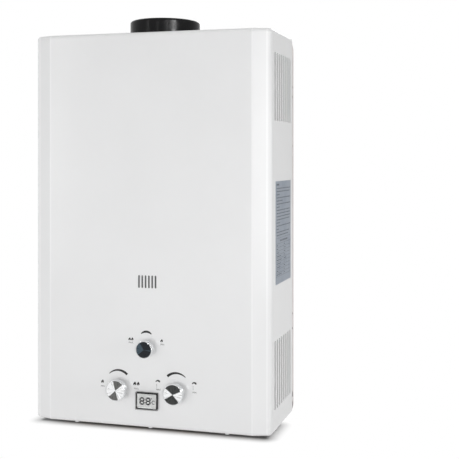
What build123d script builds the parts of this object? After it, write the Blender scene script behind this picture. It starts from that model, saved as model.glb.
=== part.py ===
"""Wall-hung outdoor tankless gas water heater, as separate solids in one frame.

Origin: the wall plane (rear face of the back plate) at mid height and mid width of the case.
+Z is up, +X is to the right of someone facing the heater, and the front panel faces -Y. Millimetres.
"""

from build123d import *
import math
import os

os.makedirs("parts", exist_ok=True)

# ---------------------------------------------------------------- casing
case_width = 406.0
case_height = 635.0
cover_depth = 142.0
plate_strip = 14.0  # depth of back plate that shows behind the cover
cover_sheet = 0.8
plate_sheet = 0.8
bevel_width = 29.0
bevel_depth = 8.3
corner_radius = 7.0
bevel_radius = 8.0
fold_radius = 6.0
bottom_lip = 14.0
panel_fit = 0.3  # gap between pieces of folded sheet
plate_lap = 10.0  # how far the plate's flanges reach inside the cover
plate_drop = 8.0  # top of the plate below the top of the cover
plate_chamfer = 10.0
bracket_corner_radius = 2.0

# louvre slots in both sides
slot_count = 8
slot_width = 8.2
slot_height = 109.0
slot_pitch = 13.8
slot_first = 29.2  # first slot's centre behind the front panel
slot_top_margin = 35.0
slot_bottom_margin = 35.5
slot_rim_depth = 2.4

# vents in the front
vent_count = 6
vent_width = 3.1
vent_height = 20.5
vent_pitch = 5.7
vent_centre_x = -1.4
vent_rise = 234.0  # centre above the bottom of the case
mica_sheet = 0.5
mica_border = 6.0

# holes in the visible strip of the back plate: (distance from the case's end, width, height)
upper_strip_holes = [(82.0, 3.5, 3.6), (99.0, 3.5, 5.5), (182.0, 3.5, 3.6)]
lower_strip_holes = [
    (13.0, 5.5, 10.0),
    (30.0, 5.5, 10.0),
    (106.0, 2.0, 2.1),
    (143.0, 4.2, 4.3),
    (168.0, 4.2, 4.3),
]

# wall fixing
wall_hole_radius = 3.5
wall_hole_spacing_x = 200.0
wall_hole_margin = 37.5  # from the top and bottom of the case
bracket_sheet = 1.5
bracket_width = 260.0
bracket_height = 34.0

# rating plate on the right side
rating_depth_size = 97.0
rating_height = 164.0
rating_setback = 32.3
rating_drop = 239.6
rating_thickness = 0.4

# ---------------------------------------------------------------- shelf and cover screws
shelf_sheet = 1.2
shelf_rise = 17.0  # top of the shelf above the bottom of the case
shelf_front_gap = 5.5
shelf_front_width = 320.0
shelf_rear_flange = 14.0
screw_radius = 1.8
screw_fit = 0.05
screw_length = 7.0
screw_head_radius = 3.3
screw_head_height = 2.4
screw_slot_width = 1.0
screw_slot_depth = 1.0
cover_screw_spacing = 130.0
cover_screw_count = 3

# ---------------------------------------------------------------- flue
flue_setback = 75.0  # collar centre behind the front panel
collar_radius = 58.3
collar_height = 25.0
collar_edge_radius = 4.0
collar_wall = 1.2
neck_radius = 52.0
neck_gap = 0.3
neck_above_cover = 7.0
gasket_thickness = 1.0
hood_overhang = 6.0  # past the jacket on every side
hood_shoulder_drop = 23.0
hood_slope_height = 49.0
hood_skirt = 30.0
draught_gap = 29.5  # between the hood and the jacket below it
hood_sheet = 0.8
hood_corner_radius = 14.0
post_width = 12.0
post_sheet = 1.5
post_spacing = 45.0
post_tube_gap = 1.5

# ---------------------------------------------------------------- heat exchanger
jacket_width = 250.0
jacket_depth = 80.0
jacket_front_setback = 38.0
jacket_bottom_rise = 222.5
jacket_sheet = 1.0
jacket_corner_radius = 13.0
fin_end_gap = 13.0  # least room between the end fins and the jacket
fin_pitch = 6.3
fin_thickness = 0.6
fin_height = 54.0
fin_gap = 0.2
tube_radius = 6.0
tube_wall = 0.8
tube_pitch = 15.0
tube_runs = 5
tube_overhang = 9.0
tube_fit = 0.05
coil_radius = 7.0
coil_wall = 0.8
coil_gap = 0.2
coil_pitch = 36.0
coil_first_rise = 77.5  # first turn above the foot of the jacket
coil_end_drop = 77.5  # last turn below the tubes
coil_bend = 20.0
coil_entry_run = 16.0
coil_exit_reach = 18.0
coil_exit_bend = 12.0
coil_lift = 31.0
cold_riser_setback = 70.6  # copper riser behind the front panel, in line with the fourth slot
cold_riser_reach = 32.8  # copper riser outside the coil's centre line
cold_port_rise = 72.5
union_rise = 197.5
union_height = 12.0
union_radius = 11.0
hot_pipe_reach = 26.0  # hot pipe outside the ends of the tubes
hot_pipe_bend = 16.0
hot_pipe_lower_rise = 92.5
hot_pipe_foot_rise = 55.5
hot_union_rise = 217.5

# ---------------------------------------------------------------- burner
burner_side_lap = 3.0  # past the jacket at each end
burner_face_lap = 4.0  # past the jacket at the front and rear
burner_bottom_rise = 160.0
burner_flange = 8.0
burner_sheet = 1.2
burner_ear = 14.0
burner_ear_height = 40.0
burner_ear_rise = 8.0
bar_end_gap = 9.0  # least room between the end bars and the frame's outside
bar_pitch = 20.0
bar_width = 14.0
bar_height = 46.0
bar_top_gap = 16.0
bar_throat_radius = 4.5
bar_throat_drop = 32.0
bar_port_count = 9
bar_port_width = 1.4
bar_port_depth = 3.0
bar_port_pitch = 8.0
bar_shoulder = 3.0
bar_throat_depth = 60.0
bar_throat_window = 0.5
manifold_height = 16.0
manifold_depth = 16.0
manifold_end_gap = 6.0  # manifold's ends short of the burner's
manifold_gap = 4.0  # manifold's rear face ahead of the burner's front wall
manifold_edge = 2.0
manifold_lug = 4.0
nozzle_radius = 3.0
nozzle_reach = 2.0
nozzle_bore_radius = 0.6
nozzle_hex = 4.2
nozzle_hex_length = 2.5

# ---------------------------------------------------------------- valves and controls
knob_offset = 48.8
knob_rise = 60.7
season_rise = 128.5
knob_radius = 16.3
season_knob_radius = 13.6
knob_reach = 17.8
knob_cap_thickness = 10.3
knob_neck_radius = 5.5
knob_neck_inside = 4.0  # how far the neck reaches through the cover
knob_hole_clearance = 0.8
knob_edge_radius = 0.5
pointer_notch = 5.15  # how far the pointer notch runs back along the rim
face_inset = 0.3
face_depth = 1.2
knob_socket_depth = 16.0
pointer_width = 1.6
pointer_length = 4.4  # half of it inside the rim
gas_pointer_angle = 63.0
season_pointer_angle = 33.0
spindle_radius = 3.0
spindle_fit = 0.05
spindle_flat = 0.8
spindle_inside = 20.0
boss_radius = 9.0
valve_setback_front = 34.0
valve_depth = 48.0
valve_height = 46.0
valve_width = 46.0
boss_front_setback = 17.0
valve_edge = 3.0
edge_break = 0.3

housing_radius = 32.0
housing_bolt_circle = 28.0
housing_bolt_radius = 2.0
housing_bolt_count = 6
housing_bolt_hex = 4.0
housing_bolt_head = 2.0
housing_bolt_engagement = 4.0
flange_thickness = 8.0
diaphragm_thickness = 1.5
housing_cover_thickness = 14.5
housing_cavity_radius = 24.0
housing_cavity_depth = 8.5
push_disc_radius = 20.0
push_disc_thickness = 2.5
push_disc_gap = 0.3
push_rod_radius = 2.5
push_rod_inside = 9.0
push_rod_travel = 3.0
collar_disc_radius = 6.0
collar_disc_thickness = 3.0
collar_disc_offset = 9.0  # collar's left face from the housing cover's left face

switch_width = 16.0
switch_depth = 10.0
switch_height = 12.0
lever_pivot_rise = 19.0  # lever pin above the push rod's axis
lever_width = 5.0
lever_thickness = 1.2
lever_hub_radius = 2.0
lever_pin_radius = 1.0
lever_gap = 0.5
lever_tip_above_axis = 3.5
lever_switch_gap = 1.0  # between the lever's hub and the switch

solenoid_radius = 13.0
solenoid_length = 36.0
solenoid_neck = 5.0
solenoid_neck_radius = 8.0
solenoid_edge = 1.6

season_width = 36.0
season_depth = 48.0
season_front_setback = 17.0
season_height = 36.0
season_neck_radius = 6.5
riser_radius = 7.0
riser_bend = 16.0
riser_setback = 58.0
riser_flange_radius = 10.5
riser_flange_thickness = 3.0

# ---------------------------------------------------------------- pipe connections
stub_radius = 10.48  # G1/2 male thread, outside
stub_below_case = 17.0
stub_shank_radius = 11.5
stub_shank_reach = 1.0
stub_chamfer = 0.8
nut_radius = 15.0
nut_height = 7.0
connection_setback = 70.0
fitting_radius = 12.0
fitting_bore = 7.5
hot_fitting_height = 10.0
locknut_height = 5.0
hot_side_gap = 73.0  # hot outlet from the side of the case
probe_radius = 4.0
probe_length = 14.0
probe_rise = 253.5
probe_clamp_height = 12.0
probe_clamp_wall = 0.8
thermostat_radius = 8.0
thermostat_thickness = 4.0
thermostat_cap_radius = 4.0
thermostat_cap_height = 4.0
thermostat_drop = 54.0  # below the fins' centre line

# ---------------------------------------------------------------- display
display_width = 38.3
display_height = 28.4
display_rise = 43.2
display_centre_x = -1.4
display_reach = 4.0
display_frame = 1.4
display_corner_radius = 0.5
display_collar = 1.2
display_body_depth = 14.0
display_glass_thickness = 1.0
display_glass_inset = 0.6
display_board_thickness = 1.6
display_fit = 0.2

# ---------------------------------------------------------------- battery box
battery_setback = 73.0
battery_depth = 67.0
battery_height = 72.5
battery_edge = 1.0
battery_tab = 4.0
battery_tab_thickness = 2.0
battery_width = 38.0
battery_side_gap = 20.0
battery_drop = 19.5  # lid's underside below the case
battery_wall = 2.0
battery_lid_thickness = 4.0
battery_lid_gap = 0.3
cell_radius = 16.5
cell_length = 61.0
cell_tip_radius = 4.5
cell_tip_length = 1.2
cell_gap = 0.2
cell_count = 2
contact_thickness = 0.4
contact_size = 14.0
hinge_radius = 2.2
hinge_pin_radius = 1.1
hinge_pin_fit = 0.05
hinge_ear_length = 6.0
hinge_end_gap = 0.3
hinge_offset = 2.6
latch_width = 10.5
latch_thickness = 1.8
latch_height = 14.0
latch_nub = 0.8
nub_height = 3.0

# ---------------------------------------------------------------- ignition
controller_width = 66.0
controller_height = 62.0
controller_depth = 25.0
controller_side_gap = 18.0
controller_rise = 118.0
controller_edge = 2.0
electrode_radius = 1.2
ceramic_radius = 3.5
ceramic_length = 26.0
ceramic_edge = 0.8
ceramic_fit = 0.05
electrode_terminal = 2.0
electrode_bracket_margin = 14.0
electrode_reach = 16.0
electrode_offset = 30.0
electrode_bracket_sheet = 1.2
lead_radius = 2.0
lead_panel_gap = 7.0  # leads' centre lines behind the front panel's inner face
lead_side_gap = 8.0
lead_step = 4.0
lead_drops = (14.0, 20.0)
lead_shifts = (8.0, 0.0)
lead_back_y = -17.0
lead_rise = 16.0
lead_bends = [5.0, 14.0, 16.0, 7.0]

# ---------------------------------------------------------------- derived places
front_y = -(cover_depth + plate_strip)
inner_front_y = front_y + cover_sheet
cover_rear_y = -plate_strip
case_top = case_height / 2
case_bottom = -case_height / 2
side_x = case_width / 2
inner_side_x = side_x - cover_sheet
plate_half_width = inner_side_x - panel_fit
plate_top = case_top - plate_drop
plate_bottom = case_bottom + cover_sheet + panel_fit
plate_front_y = -(plate_strip + plate_lap)
lip_top_z = case_bottom + cover_sheet
shelf_top_z = case_bottom + shelf_rise
shelf_bottom_z = shelf_top_z - shelf_sheet
flue_y = front_y + flue_setback
jacket_front_y = front_y + jacket_front_setback
jacket_rear_y = jacket_front_y + jacket_depth
jacket_y = (jacket_front_y + jacket_rear_y) / 2
hood_shoulder_z = case_top - hood_shoulder_drop
hood_skirt_z = hood_shoulder_z - hood_slope_height
hood_bottom_z = hood_skirt_z - hood_skirt
jacket_top_z = hood_bottom_z - draught_gap
jacket_bottom_z = case_bottom + jacket_bottom_rise
battery_front_y = front_y + battery_setback
battery_rear_y = battery_front_y + battery_depth
battery_right_x = side_x - battery_side_gap
battery_left_x = battery_right_x - battery_width
battery_bottom_z = case_bottom - battery_drop
battery_mouth_z = battery_bottom_z + battery_lid_thickness
battery_top_z = battery_mouth_z + battery_height
hinge_x = battery_left_x - hinge_offset
hinge_z = battery_mouth_z
shelf_front_y = inner_front_y + shelf_front_gap
foot_range_y = (shelf_front_y + shelf_sheet, front_y + bottom_lip)
through = 4.0  # how far a cutter runs past the face that it opens


def block(x_range, y_range, z_range, mode=Mode.ADD):
    """A rectangular block between two limits along each axis."""
    middle = [(low + high) / 2 for low, high in (x_range, y_range, z_range)]
    length = [high - low for low, high in (x_range, y_range, z_range)]
    with Locations(tuple(middle)):
        Box(*length, mode=mode)


def rod_x(x_range, y, z, radius, mode=Mode.ADD):
    """A round bar or bore along X."""
    with Locations(Location(((x_range[0] + x_range[1]) / 2, y, z), (0, 90, 0))):
        Cylinder(radius, x_range[1] - x_range[0], mode=mode)


def rod_y(x, y_range, z, radius, mode=Mode.ADD):
    """A round bar or bore along Y."""
    with Locations(Location((x, (y_range[0] + y_range[1]) / 2, z), (90, 0, 0))):
        Cylinder(radius, y_range[1] - y_range[0], mode=mode)


def rod_z(x, y, z_range, radius, mode=Mode.ADD):
    """A round bar or bore along Z."""
    with Locations((x, y, (z_range[0] + z_range[1]) / 2)):
        Cylinder(radius, z_range[1] - z_range[0], mode=mode)


def save(part, name):
    """Label a finished piece and write it under its own name."""
    part.label = name
    export_step(part, f"parts/{name}.step")


# ================================================================ front cover
slot_y = front_y + slot_first + slot_pitch * (slot_count - 1) / 2
slot_rows_z = (
    case_top - slot_top_margin - slot_height / 2,
    case_bottom + slot_bottom_margin + slot_height / 2,
)
vent_z = case_bottom + vent_rise
knob_z = case_bottom + knob_rise
season_z = case_bottom + season_rise
knob_places = [(-knob_offset, knob_z), (knob_offset, knob_z), (0, season_z)]
display_z = case_bottom + display_rise
cover_screw_places = [
    ((index - (cover_screw_count - 1) / 2) * cover_screw_spacing, sum(foot_range_y) / 2)
    for index in range(cover_screw_count)
]

with BuildPart() as front_cover:
    with BuildSketch(Plane.XY.offset(case_bottom)):
        with BuildLine():
            outline = FilletPolyline(
                (-side_x, cover_rear_y),
                (-side_x, front_y + bevel_depth),
                (-side_x + bevel_width, front_y),
                (side_x - bevel_width, front_y),
                (side_x, front_y + bevel_depth),
                (side_x, cover_rear_y),
                radius=[corner_radius, bevel_radius, bevel_radius, corner_radius],
            )
            Line(outline @ 1, outline @ 0)
        make_face()
    extrude(amount=case_height)
    ends = front_cover.faces().filter_by(Axis.Z)
    rims = ends.edges().filter_by(lambda edge: edge.center().Y < cover_rear_y - through)
    fillet(rims, fold_radius)
    rear = front_cover.faces().sort_by(Axis.Y)[-1]
    offset(amount=-cover_sheet, openings=rear)
    block(
        (-side_x + bottom_lip, side_x - bottom_lip),
        (front_y + bottom_lip, cover_rear_y + through),
        (case_bottom - through, lip_top_z + panel_fit),
        mode=Mode.SUBTRACT,
    )
    block(
        (-inner_side_x, inner_side_x),
        (cover_rear_y - cover_sheet, cover_rear_y),
        (plate_top + panel_fit, case_top - cover_sheet),
    )
    for side in (-1, 1):
        with BuildSketch(Plane.YZ.offset(side * inner_side_x)):
            for row_z in slot_rows_z:
                with Locations((slot_y, row_z)):
                    with GridLocations(slot_pitch, slot_pitch, slot_count, 1):
                        SlotOverall(
                            slot_height + 2 * cover_sheet, slot_width + 2 * cover_sheet, rotation=90
                        )
        extrude(amount=-side * slot_rim_depth)
        with BuildSketch(Plane.YZ.offset(side * side_x)):
            for row_z in slot_rows_z:
                with Locations((slot_y, row_z)):
                    with GridLocations(slot_pitch, slot_pitch, slot_count, 1):
                        SlotOverall(slot_height, slot_width, rotation=90)
        extrude(amount=-side * (cover_sheet + slot_rim_depth), mode=Mode.SUBTRACT)
    with BuildSketch(Plane.XZ.offset(-front_y)):
        with Locations((vent_centre_x, vent_z)):
            with GridLocations(vent_pitch, vent_pitch, vent_count, 1):
                SlotOverall(vent_height, vent_width, rotation=90)
        with Locations(*knob_places):
            Circle(knob_neck_radius + knob_hole_clearance)
        with Locations((display_centre_x, display_z)):
            Rectangle(
                display_width - 2 * display_collar + 2 * display_fit,
                display_height - 2 * display_collar + 2 * display_fit,
            )
    extrude(amount=-cover_sheet, mode=Mode.SUBTRACT)
    rod_z(0, flue_y, (case_top - through, case_top + through), neck_radius + neck_gap, Mode.SUBTRACT)
    for screw_x, screw_y in cover_screw_places:
        rod_z(
            screw_x,
            screw_y,
            (case_bottom - through, lip_top_z + panel_fit),
            screw_radius + screw_fit,
            Mode.SUBTRACT,
        )
save(front_cover.part, "front_cover")

# ================================================================ back plate
wall_hole_z = case_height / 2 - wall_hole_margin

with BuildPart() as back_plate:
    with BuildSketch(Plane.YZ.offset(-plate_half_width)):
        with BuildLine():
            Polyline(
                (plate_front_y, plate_bottom),
                (-plate_chamfer, plate_bottom),
                (0, plate_bottom + plate_chamfer),
                (0, plate_top - plate_chamfer),
                (-plate_chamfer, plate_top),
                (plate_front_y, plate_top),
                close=True,
            )
        make_face()
    extrude(amount=2 * plate_half_width)
    with BuildSketch(Plane.XZ.offset(-through)):
        with Locations((0, (plate_top + plate_bottom) / 2)):
            Rectangle(2 * plate_half_width, plate_top - plate_bottom)
        fillet(vertices().group_by(Axis.Y)[0], fold_radius)
    extrude(amount=-plate_front_y + 2 * through, mode=Mode.INTERSECT)
    open_front = back_plate.faces().sort_by(Axis.Y)[0]
    offset(amount=-plate_sheet, openings=open_front)
    block(
        (battery_left_x - panel_fit, battery_right_x + panel_fit),
        (plate_front_y - through, battery_rear_y + panel_fit),
        (plate_bottom - through, plate_bottom + plate_sheet + through),
        mode=Mode.SUBTRACT,
    )
    with BuildSketch(Plane.YZ.offset(-plate_half_width - through)):
        for end_z, inward, holes in ((case_top, -1, upper_strip_holes), (case_bottom, 1, lower_strip_holes)):
            for distance, hole_width, hole_height in holes:
                with Locations((-plate_strip / 2, end_z + inward * distance)):
                    SlotOverall(hole_height, hole_width, rotation=90)
    extrude(amount=2 * (plate_half_width + through), mode=Mode.SUBTRACT)
    for hole_x in (-wall_hole_spacing_x / 2, wall_hole_spacing_x / 2):
        for hole_z in (-wall_hole_z, wall_hole_z):
            rod_y(hole_x, (-through, through), hole_z, wall_hole_radius, Mode.SUBTRACT)
save(back_plate.part, "back_plate")

# ================================================================ hanging bracket
bracket_back_y = -plate_sheet
bracket_front_y = bracket_back_y - bracket_sheet

with BuildPart() as hanging_bracket:
    block(
        (-bracket_width / 2, bracket_width / 2),
        (bracket_front_y, bracket_back_y),
        (wall_hole_z - bracket_height / 2, wall_hole_z + bracket_height / 2 - plate_chamfer / 2),
    )
    fillet(hanging_bracket.edges().filter_by(Axis.Y), bracket_corner_radius)
    for hole_x in (-wall_hole_spacing_x / 2, wall_hole_spacing_x / 2):
        rod_y(hole_x, (bracket_front_y - through, 0), wall_hole_z, wall_hole_radius, Mode.SUBTRACT)
save(hanging_bracket.part, "hanging_bracket")

# ================================================================ bottom shelf
shelf_half_width = plate_half_width - plate_sheet - panel_fit
shelf_rear_y = -plate_sheet
connection_y = front_y + connection_setback
hot_outlet_x = -side_x + hot_side_gap
stub_places = [(hot_outlet_x, connection_y), (-knob_offset, connection_y), (knob_offset, connection_y)]

with BuildPart() as bottom_shelf:
    block(
        (-shelf_half_width, shelf_half_width),
        (front_y + slot_first, shelf_rear_y),
        (shelf_bottom_z, shelf_top_z),
    )
    fillet(bottom_shelf.edges().filter_by(Axis.Z), bracket_corner_radius)
    block(
        (-shelf_front_width / 2, shelf_front_width / 2),
        (shelf_front_y, front_y + slot_first),
        (shelf_bottom_z, shelf_top_z),
    )
    block(
        (-shelf_front_width / 2, shelf_front_width / 2),
        (shelf_front_y, shelf_front_y + shelf_sheet),
        (lip_top_z, shelf_bottom_z),
    )
    block(
        (-shelf_front_width / 2, shelf_front_width / 2),
        foot_range_y,
        (lip_top_z, lip_top_z + shelf_sheet),
    )
    block(
        (-shelf_half_width + plate_chamfer, shelf_half_width - plate_chamfer),
        (shelf_rear_y - shelf_sheet, shelf_rear_y),
        (shelf_top_z, shelf_top_z + shelf_rear_flange),
    )
    for stub_x, stub_y in stub_places:
        rod_z(
            stub_x,
            stub_y,
            (shelf_bottom_z - through, shelf_top_z + through),
            stub_shank_radius + screw_fit,
            Mode.SUBTRACT,
        )
    block(
        (battery_left_x - panel_fit, battery_right_x + panel_fit),
        (battery_front_y - panel_fit, battery_rear_y + panel_fit),
        (shelf_bottom_z - through, shelf_top_z + through),
        mode=Mode.SUBTRACT,
    )
    for screw_x, screw_y in cover_screw_places:
        rod_z(
            screw_x,
            screw_y,
            (lip_top_z - through, lip_top_z + shelf_sheet + through),
            screw_radius + screw_fit,
            Mode.SUBTRACT,
        )
save(bottom_shelf.part, "bottom_shelf")

# ================================================================ rating plate
rating_front_y = front_y + rating_setback
rating_top_z = case_top - rating_drop

with BuildPart() as rating_plate:
    block(
        (side_x, side_x + rating_thickness),
        (rating_front_y, rating_front_y + rating_depth_size),
        (rating_top_z - rating_height, rating_top_z),
    )
    fillet(rating_plate.edges().filter_by(Axis.X), rating_thickness)
save(rating_plate.part, "rating_plate")

# ================================================================ flue gasket and collar
collar_base_z = case_top + gasket_thickness
collar_top_z = case_top + collar_height
neck_bore_radius = neck_radius + neck_gap

with BuildPart() as flue_gasket:
    rod_z(0, flue_y, (case_top, collar_base_z), collar_radius)
    rod_z(0, flue_y, (case_top - through, collar_base_z + through), neck_bore_radius, Mode.SUBTRACT)
save(flue_gasket.part, "flue_gasket")

with BuildPart() as flue_collar:
    rod_z(0, flue_y, (collar_base_z, collar_top_z), collar_radius)
    fillet(flue_collar.faces().sort_by(Axis.Z)[-1].edges(), collar_edge_radius)
    rod_z(0, flue_y, (collar_base_z - through, collar_top_z + through), neck_bore_radius, Mode.SUBTRACT)
    with BuildSketch(Plane.XY.offset(collar_base_z)):
        with Locations((0, flue_y)):
            Circle(collar_radius - collar_wall)
            Circle(neck_bore_radius + collar_wall, mode=Mode.SUBTRACT)
    extrude(amount=collar_height - gasket_thickness - collar_edge_radius, mode=Mode.SUBTRACT)
save(flue_collar.part, "flue_collar")

# ================================================================ flue hood
hood_width = jacket_width + 2 * hood_overhang
hood_depth = jacket_depth + 2 * hood_overhang
neck_top_z = case_top + neck_above_cover

with BuildPart() as flue_hood:
    for inset, overrun, mode in ((0, 0, Mode.ADD), (hood_sheet, through, Mode.SUBTRACT)):
        with BuildSketch(Plane.XY.offset(hood_bottom_z - overrun)):
            with Locations((0, jacket_y)):
                RectangleRounded(hood_width - 2 * inset, hood_depth - 2 * inset, hood_corner_radius - inset)
        extrude(amount=hood_skirt + overrun, mode=mode)
        with BuildSketch(Plane.XY.offset(hood_skirt_z)):
            with Locations((0, jacket_y)):
                RectangleRounded(hood_width - 2 * inset, hood_depth - 2 * inset, hood_corner_radius - inset)
        with BuildSketch(Plane.XY.offset(hood_shoulder_z)):
            with Locations((0, flue_y)):
                Circle(neck_radius - inset)
        loft(mode=mode)
        rod_z(0, flue_y, (hood_shoulder_z, neck_top_z + overrun), neck_radius - inset, mode)
save(flue_hood.part, "flue_hood")

# ================================================================ heat exchanger jacket
fin_z = jacket_top_z - fin_height / 2
fin_count = int((jacket_width - 2 * jacket_sheet - 2 * fin_end_gap) / fin_pitch) + 1
tube_ys = [jacket_y + (index - (tube_runs - 1) / 2) * tube_pitch for index in range(tube_runs)]

with BuildPart() as exchanger_jacket:
    with BuildSketch(Plane.XY.offset(jacket_bottom_z)):
        with Locations((0, jacket_y)):
            RectangleRounded(jacket_width, jacket_depth, jacket_corner_radius)
            RectangleRounded(
                jacket_width - 2 * jacket_sheet,
                jacket_depth - 2 * jacket_sheet,
                jacket_corner_radius - jacket_sheet,
                mode=Mode.SUBTRACT,
            )
    extrude(amount=jacket_top_z - jacket_bottom_z)
    for tube_y in tube_ys:
        rod_x(
            (-jacket_width / 2 - through, jacket_width / 2 + through),
            tube_y,
            fin_z,
            tube_radius + tube_fit,
            Mode.SUBTRACT,
        )
save(exchanger_jacket.part, "exchanger_jacket")

# ================================================================ heat exchanger fins
with BuildPart() as exchanger_fins:
    with BuildSketch(Plane.YZ.offset(-fin_pitch * (fin_count - 1) / 2)):
        with Locations((jacket_y, fin_z)):
            RectangleRounded(
                jacket_depth - 2 * jacket_sheet - 2 * fin_gap, fin_height - 2 * fin_gap, jacket_sheet
            )
        with Locations(*[(tube_y, fin_z) for tube_y in tube_ys]):
            Circle(tube_radius + tube_fit, mode=Mode.SUBTRACT)
    extrude(amount=fin_thickness)
    one_fin = exchanger_fins.part
    for index in range(1, fin_count):
        add(Pos(index * fin_pitch, 0, 0) * one_fin)
save(exchanger_fins.part, "exchanger_fins")

# ================================================================ heat exchanger tubes
tube_end_x = jacket_width / 2 + tube_overhang


with BuildPart() as exchanger_tubes:
    with BuildLine():
        for index, tube_y in enumerate(tube_ys):
            start_x = tube_end_x * (-1) ** index
            Line((start_x, tube_y, fin_z), (-start_x, tube_y, fin_z))
            if index < tube_runs - 1:
                ThreePointArc(
                    (-start_x, tube_y, fin_z),
                    (-start_x - math.copysign(tube_pitch / 2, start_x), tube_y + tube_pitch / 2, fin_z),
                    (-start_x, tube_y + tube_pitch, fin_z),
                )
    with BuildSketch(Plane(origin=(tube_end_x, tube_ys[0], fin_z), z_dir=(-1, 0, 0))):
        Circle(tube_radius)
        Circle(tube_radius - tube_wall, mode=Mode.SUBTRACT)
    sweep()
save(exchanger_tubes.part, "exchanger_tubes")

# ================================================================ burner frame
burner_half_width = jacket_width / 2 + burner_side_lap
burner_front_y = jacket_front_y - burner_face_lap
burner_rear_y = jacket_rear_y + burner_face_lap
bar_count = int((2 * burner_half_width - 2 * bar_end_gap - bar_width) / bar_pitch) + 1
burner_bottom_z = case_bottom + burner_bottom_rise
burner_top_z = jacket_bottom_z
bar_top_z = burner_top_z - bar_top_gap
throat_z = bar_top_z - bar_throat_drop
bar_xs = [(index - (bar_count - 1) / 2) * bar_pitch for index in range(bar_count)]
electrode_z = (bar_top_z + burner_top_z) / 2
electrode_xs = (-electrode_offset, electrode_offset)
ear_bottom_z = burner_bottom_z + burner_ear_rise
ear_top_z = ear_bottom_z + burner_ear_height
ear_screw_x = burner_half_width - burner_ear / 2
ear_screw_zs = (ear_bottom_z + burner_ear_rise, ear_top_z - burner_ear_rise)

with BuildPart() as burner_frame:
    block(
        (-burner_half_width, burner_half_width),
        (burner_front_y, burner_rear_y),
        (burner_bottom_z, burner_top_z),
    )
    block(
        (-burner_half_width + burner_sheet, burner_half_width - burner_sheet),
        (burner_front_y + burner_sheet, burner_rear_y - burner_sheet),
        (burner_bottom_z - through, burner_top_z - burner_sheet),
        mode=Mode.SUBTRACT,
    )
    block(
        (-burner_half_width + burner_flange, burner_half_width - burner_flange),
        (burner_front_y + burner_flange, burner_rear_y - burner_flange),
        (burner_top_z - burner_sheet - through, burner_top_z + through),
        mode=Mode.SUBTRACT,
    )
    for side in (-1, 1):
        web_x_range = sorted((side * burner_half_width, side * (burner_half_width - burner_sheet)))
        ear_x_range = sorted((side * burner_half_width, side * (burner_half_width - burner_ear)))
        block(web_x_range, (burner_rear_y, shelf_rear_y), (ear_bottom_z, ear_top_z))
        block(
            ear_x_range,
            (shelf_rear_y - burner_sheet, shelf_rear_y),
            (ear_bottom_z, ear_top_z),
        )
        for screw_z in ear_screw_zs:
            rod_y(
                side * ear_screw_x,
                (shelf_rear_y - through, 0),
                screw_z,
                screw_radius + screw_fit,
                Mode.SUBTRACT,
            )
    for bar_x in bar_xs:
        rod_y(
            bar_x,
            (burner_front_y - through, burner_front_y + burner_sheet),
            throat_z,
            bar_throat_radius + bar_throat_window,
            Mode.SUBTRACT,
        )
    for electrode_x in electrode_xs:
        rod_y(
            electrode_x,
            (burner_front_y - through, burner_front_y + burner_sheet),
            electrode_z,
            ceramic_radius + ceramic_fit,
            Mode.SUBTRACT,
        )
save(burner_frame.part, "burner_frame")

# ================================================================ burner bars
bar_front_y = burner_front_y + burner_sheet
bar_rear_y = burner_rear_y - burner_sheet
bar_middle_y = (bar_front_y + bar_rear_y) / 2

with BuildPart() as burner_bars:
    block(
        (bar_xs[0] - bar_width / 2, bar_xs[0] + bar_width / 2),
        (bar_front_y, bar_rear_y),
        (bar_top_z - bar_height, bar_top_z),
    )
    shoulders = burner_bars.faces().sort_by(Axis.Z)[-1].edges().filter_by(Axis.Y)
    chamfer(shoulders, bar_shoulder)
    rod_y(
        bar_xs[0],
        (bar_front_y - through, bar_front_y + bar_throat_depth),
        throat_z,
        bar_throat_radius,
        Mode.SUBTRACT,
    )
    with Locations((bar_xs[0], bar_middle_y, bar_top_z)):
        with GridLocations(bar_port_pitch, bar_port_pitch, 1, bar_port_count):
            Box(bar_width, bar_port_width, 2 * bar_port_depth, mode=Mode.SUBTRACT)
    one_bar = burner_bars.part
    for bar_x in bar_xs[1:]:
        add(Pos(bar_x - bar_xs[0], 0, 0) * one_bar)
save(burner_bars.part, "burner_bars")

# ================================================================ gas manifold and nozzles
manifold_rear_y = burner_front_y - manifold_gap
manifold_front_y = manifold_rear_y - manifold_depth
manifold_bottom_z = throat_z - manifold_height / 2
manifold_top_z = throat_z + manifold_height / 2
manifold_half_width = burner_half_width - manifold_end_gap

with BuildPart() as gas_manifold:
    block(
        (-manifold_half_width, manifold_half_width),
        (manifold_front_y, manifold_rear_y),
        (manifold_bottom_z, manifold_top_z),
    )
    fillet(gas_manifold.edges().filter_by(Axis.X), manifold_edge)
    for side in (-1, 1):
        block(
            sorted((side * manifold_half_width, side * (manifold_half_width - manifold_lug))),
            (manifold_rear_y, burner_front_y),
            (manifold_bottom_z + manifold_edge, manifold_top_z - manifold_edge),
        )
save(gas_manifold.part, "gas_manifold")

with BuildPart() as gas_nozzles:
    for bar_x in bar_xs:
        rod_y(bar_x, (manifold_rear_y, burner_front_y + nozzle_reach), throat_z, nozzle_radius)
        with BuildSketch(Plane.XZ.offset(-manifold_rear_y)):
            with Locations((bar_x, throat_z)):
                RegularPolygon(nozzle_hex, 6)
        extrude(amount=-nozzle_hex_length)
        rod_y(
            bar_x,
            (manifold_rear_y - through, burner_front_y + nozzle_reach + through),
            throat_z,
            nozzle_bore_radius,
            Mode.SUBTRACT,
        )
save(gas_nozzles.part, "gas_nozzles")

# ================================================================ electrodes and their bracket
bracket_front_face_y = burner_front_y - electrode_bracket_sheet
ceramic_front_y = bracket_front_face_y - ceramic_length / 2
ceramic_rear_y = ceramic_front_y + ceramic_length
electrode_half_bracket = electrode_offset + electrode_bracket_margin

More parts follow.
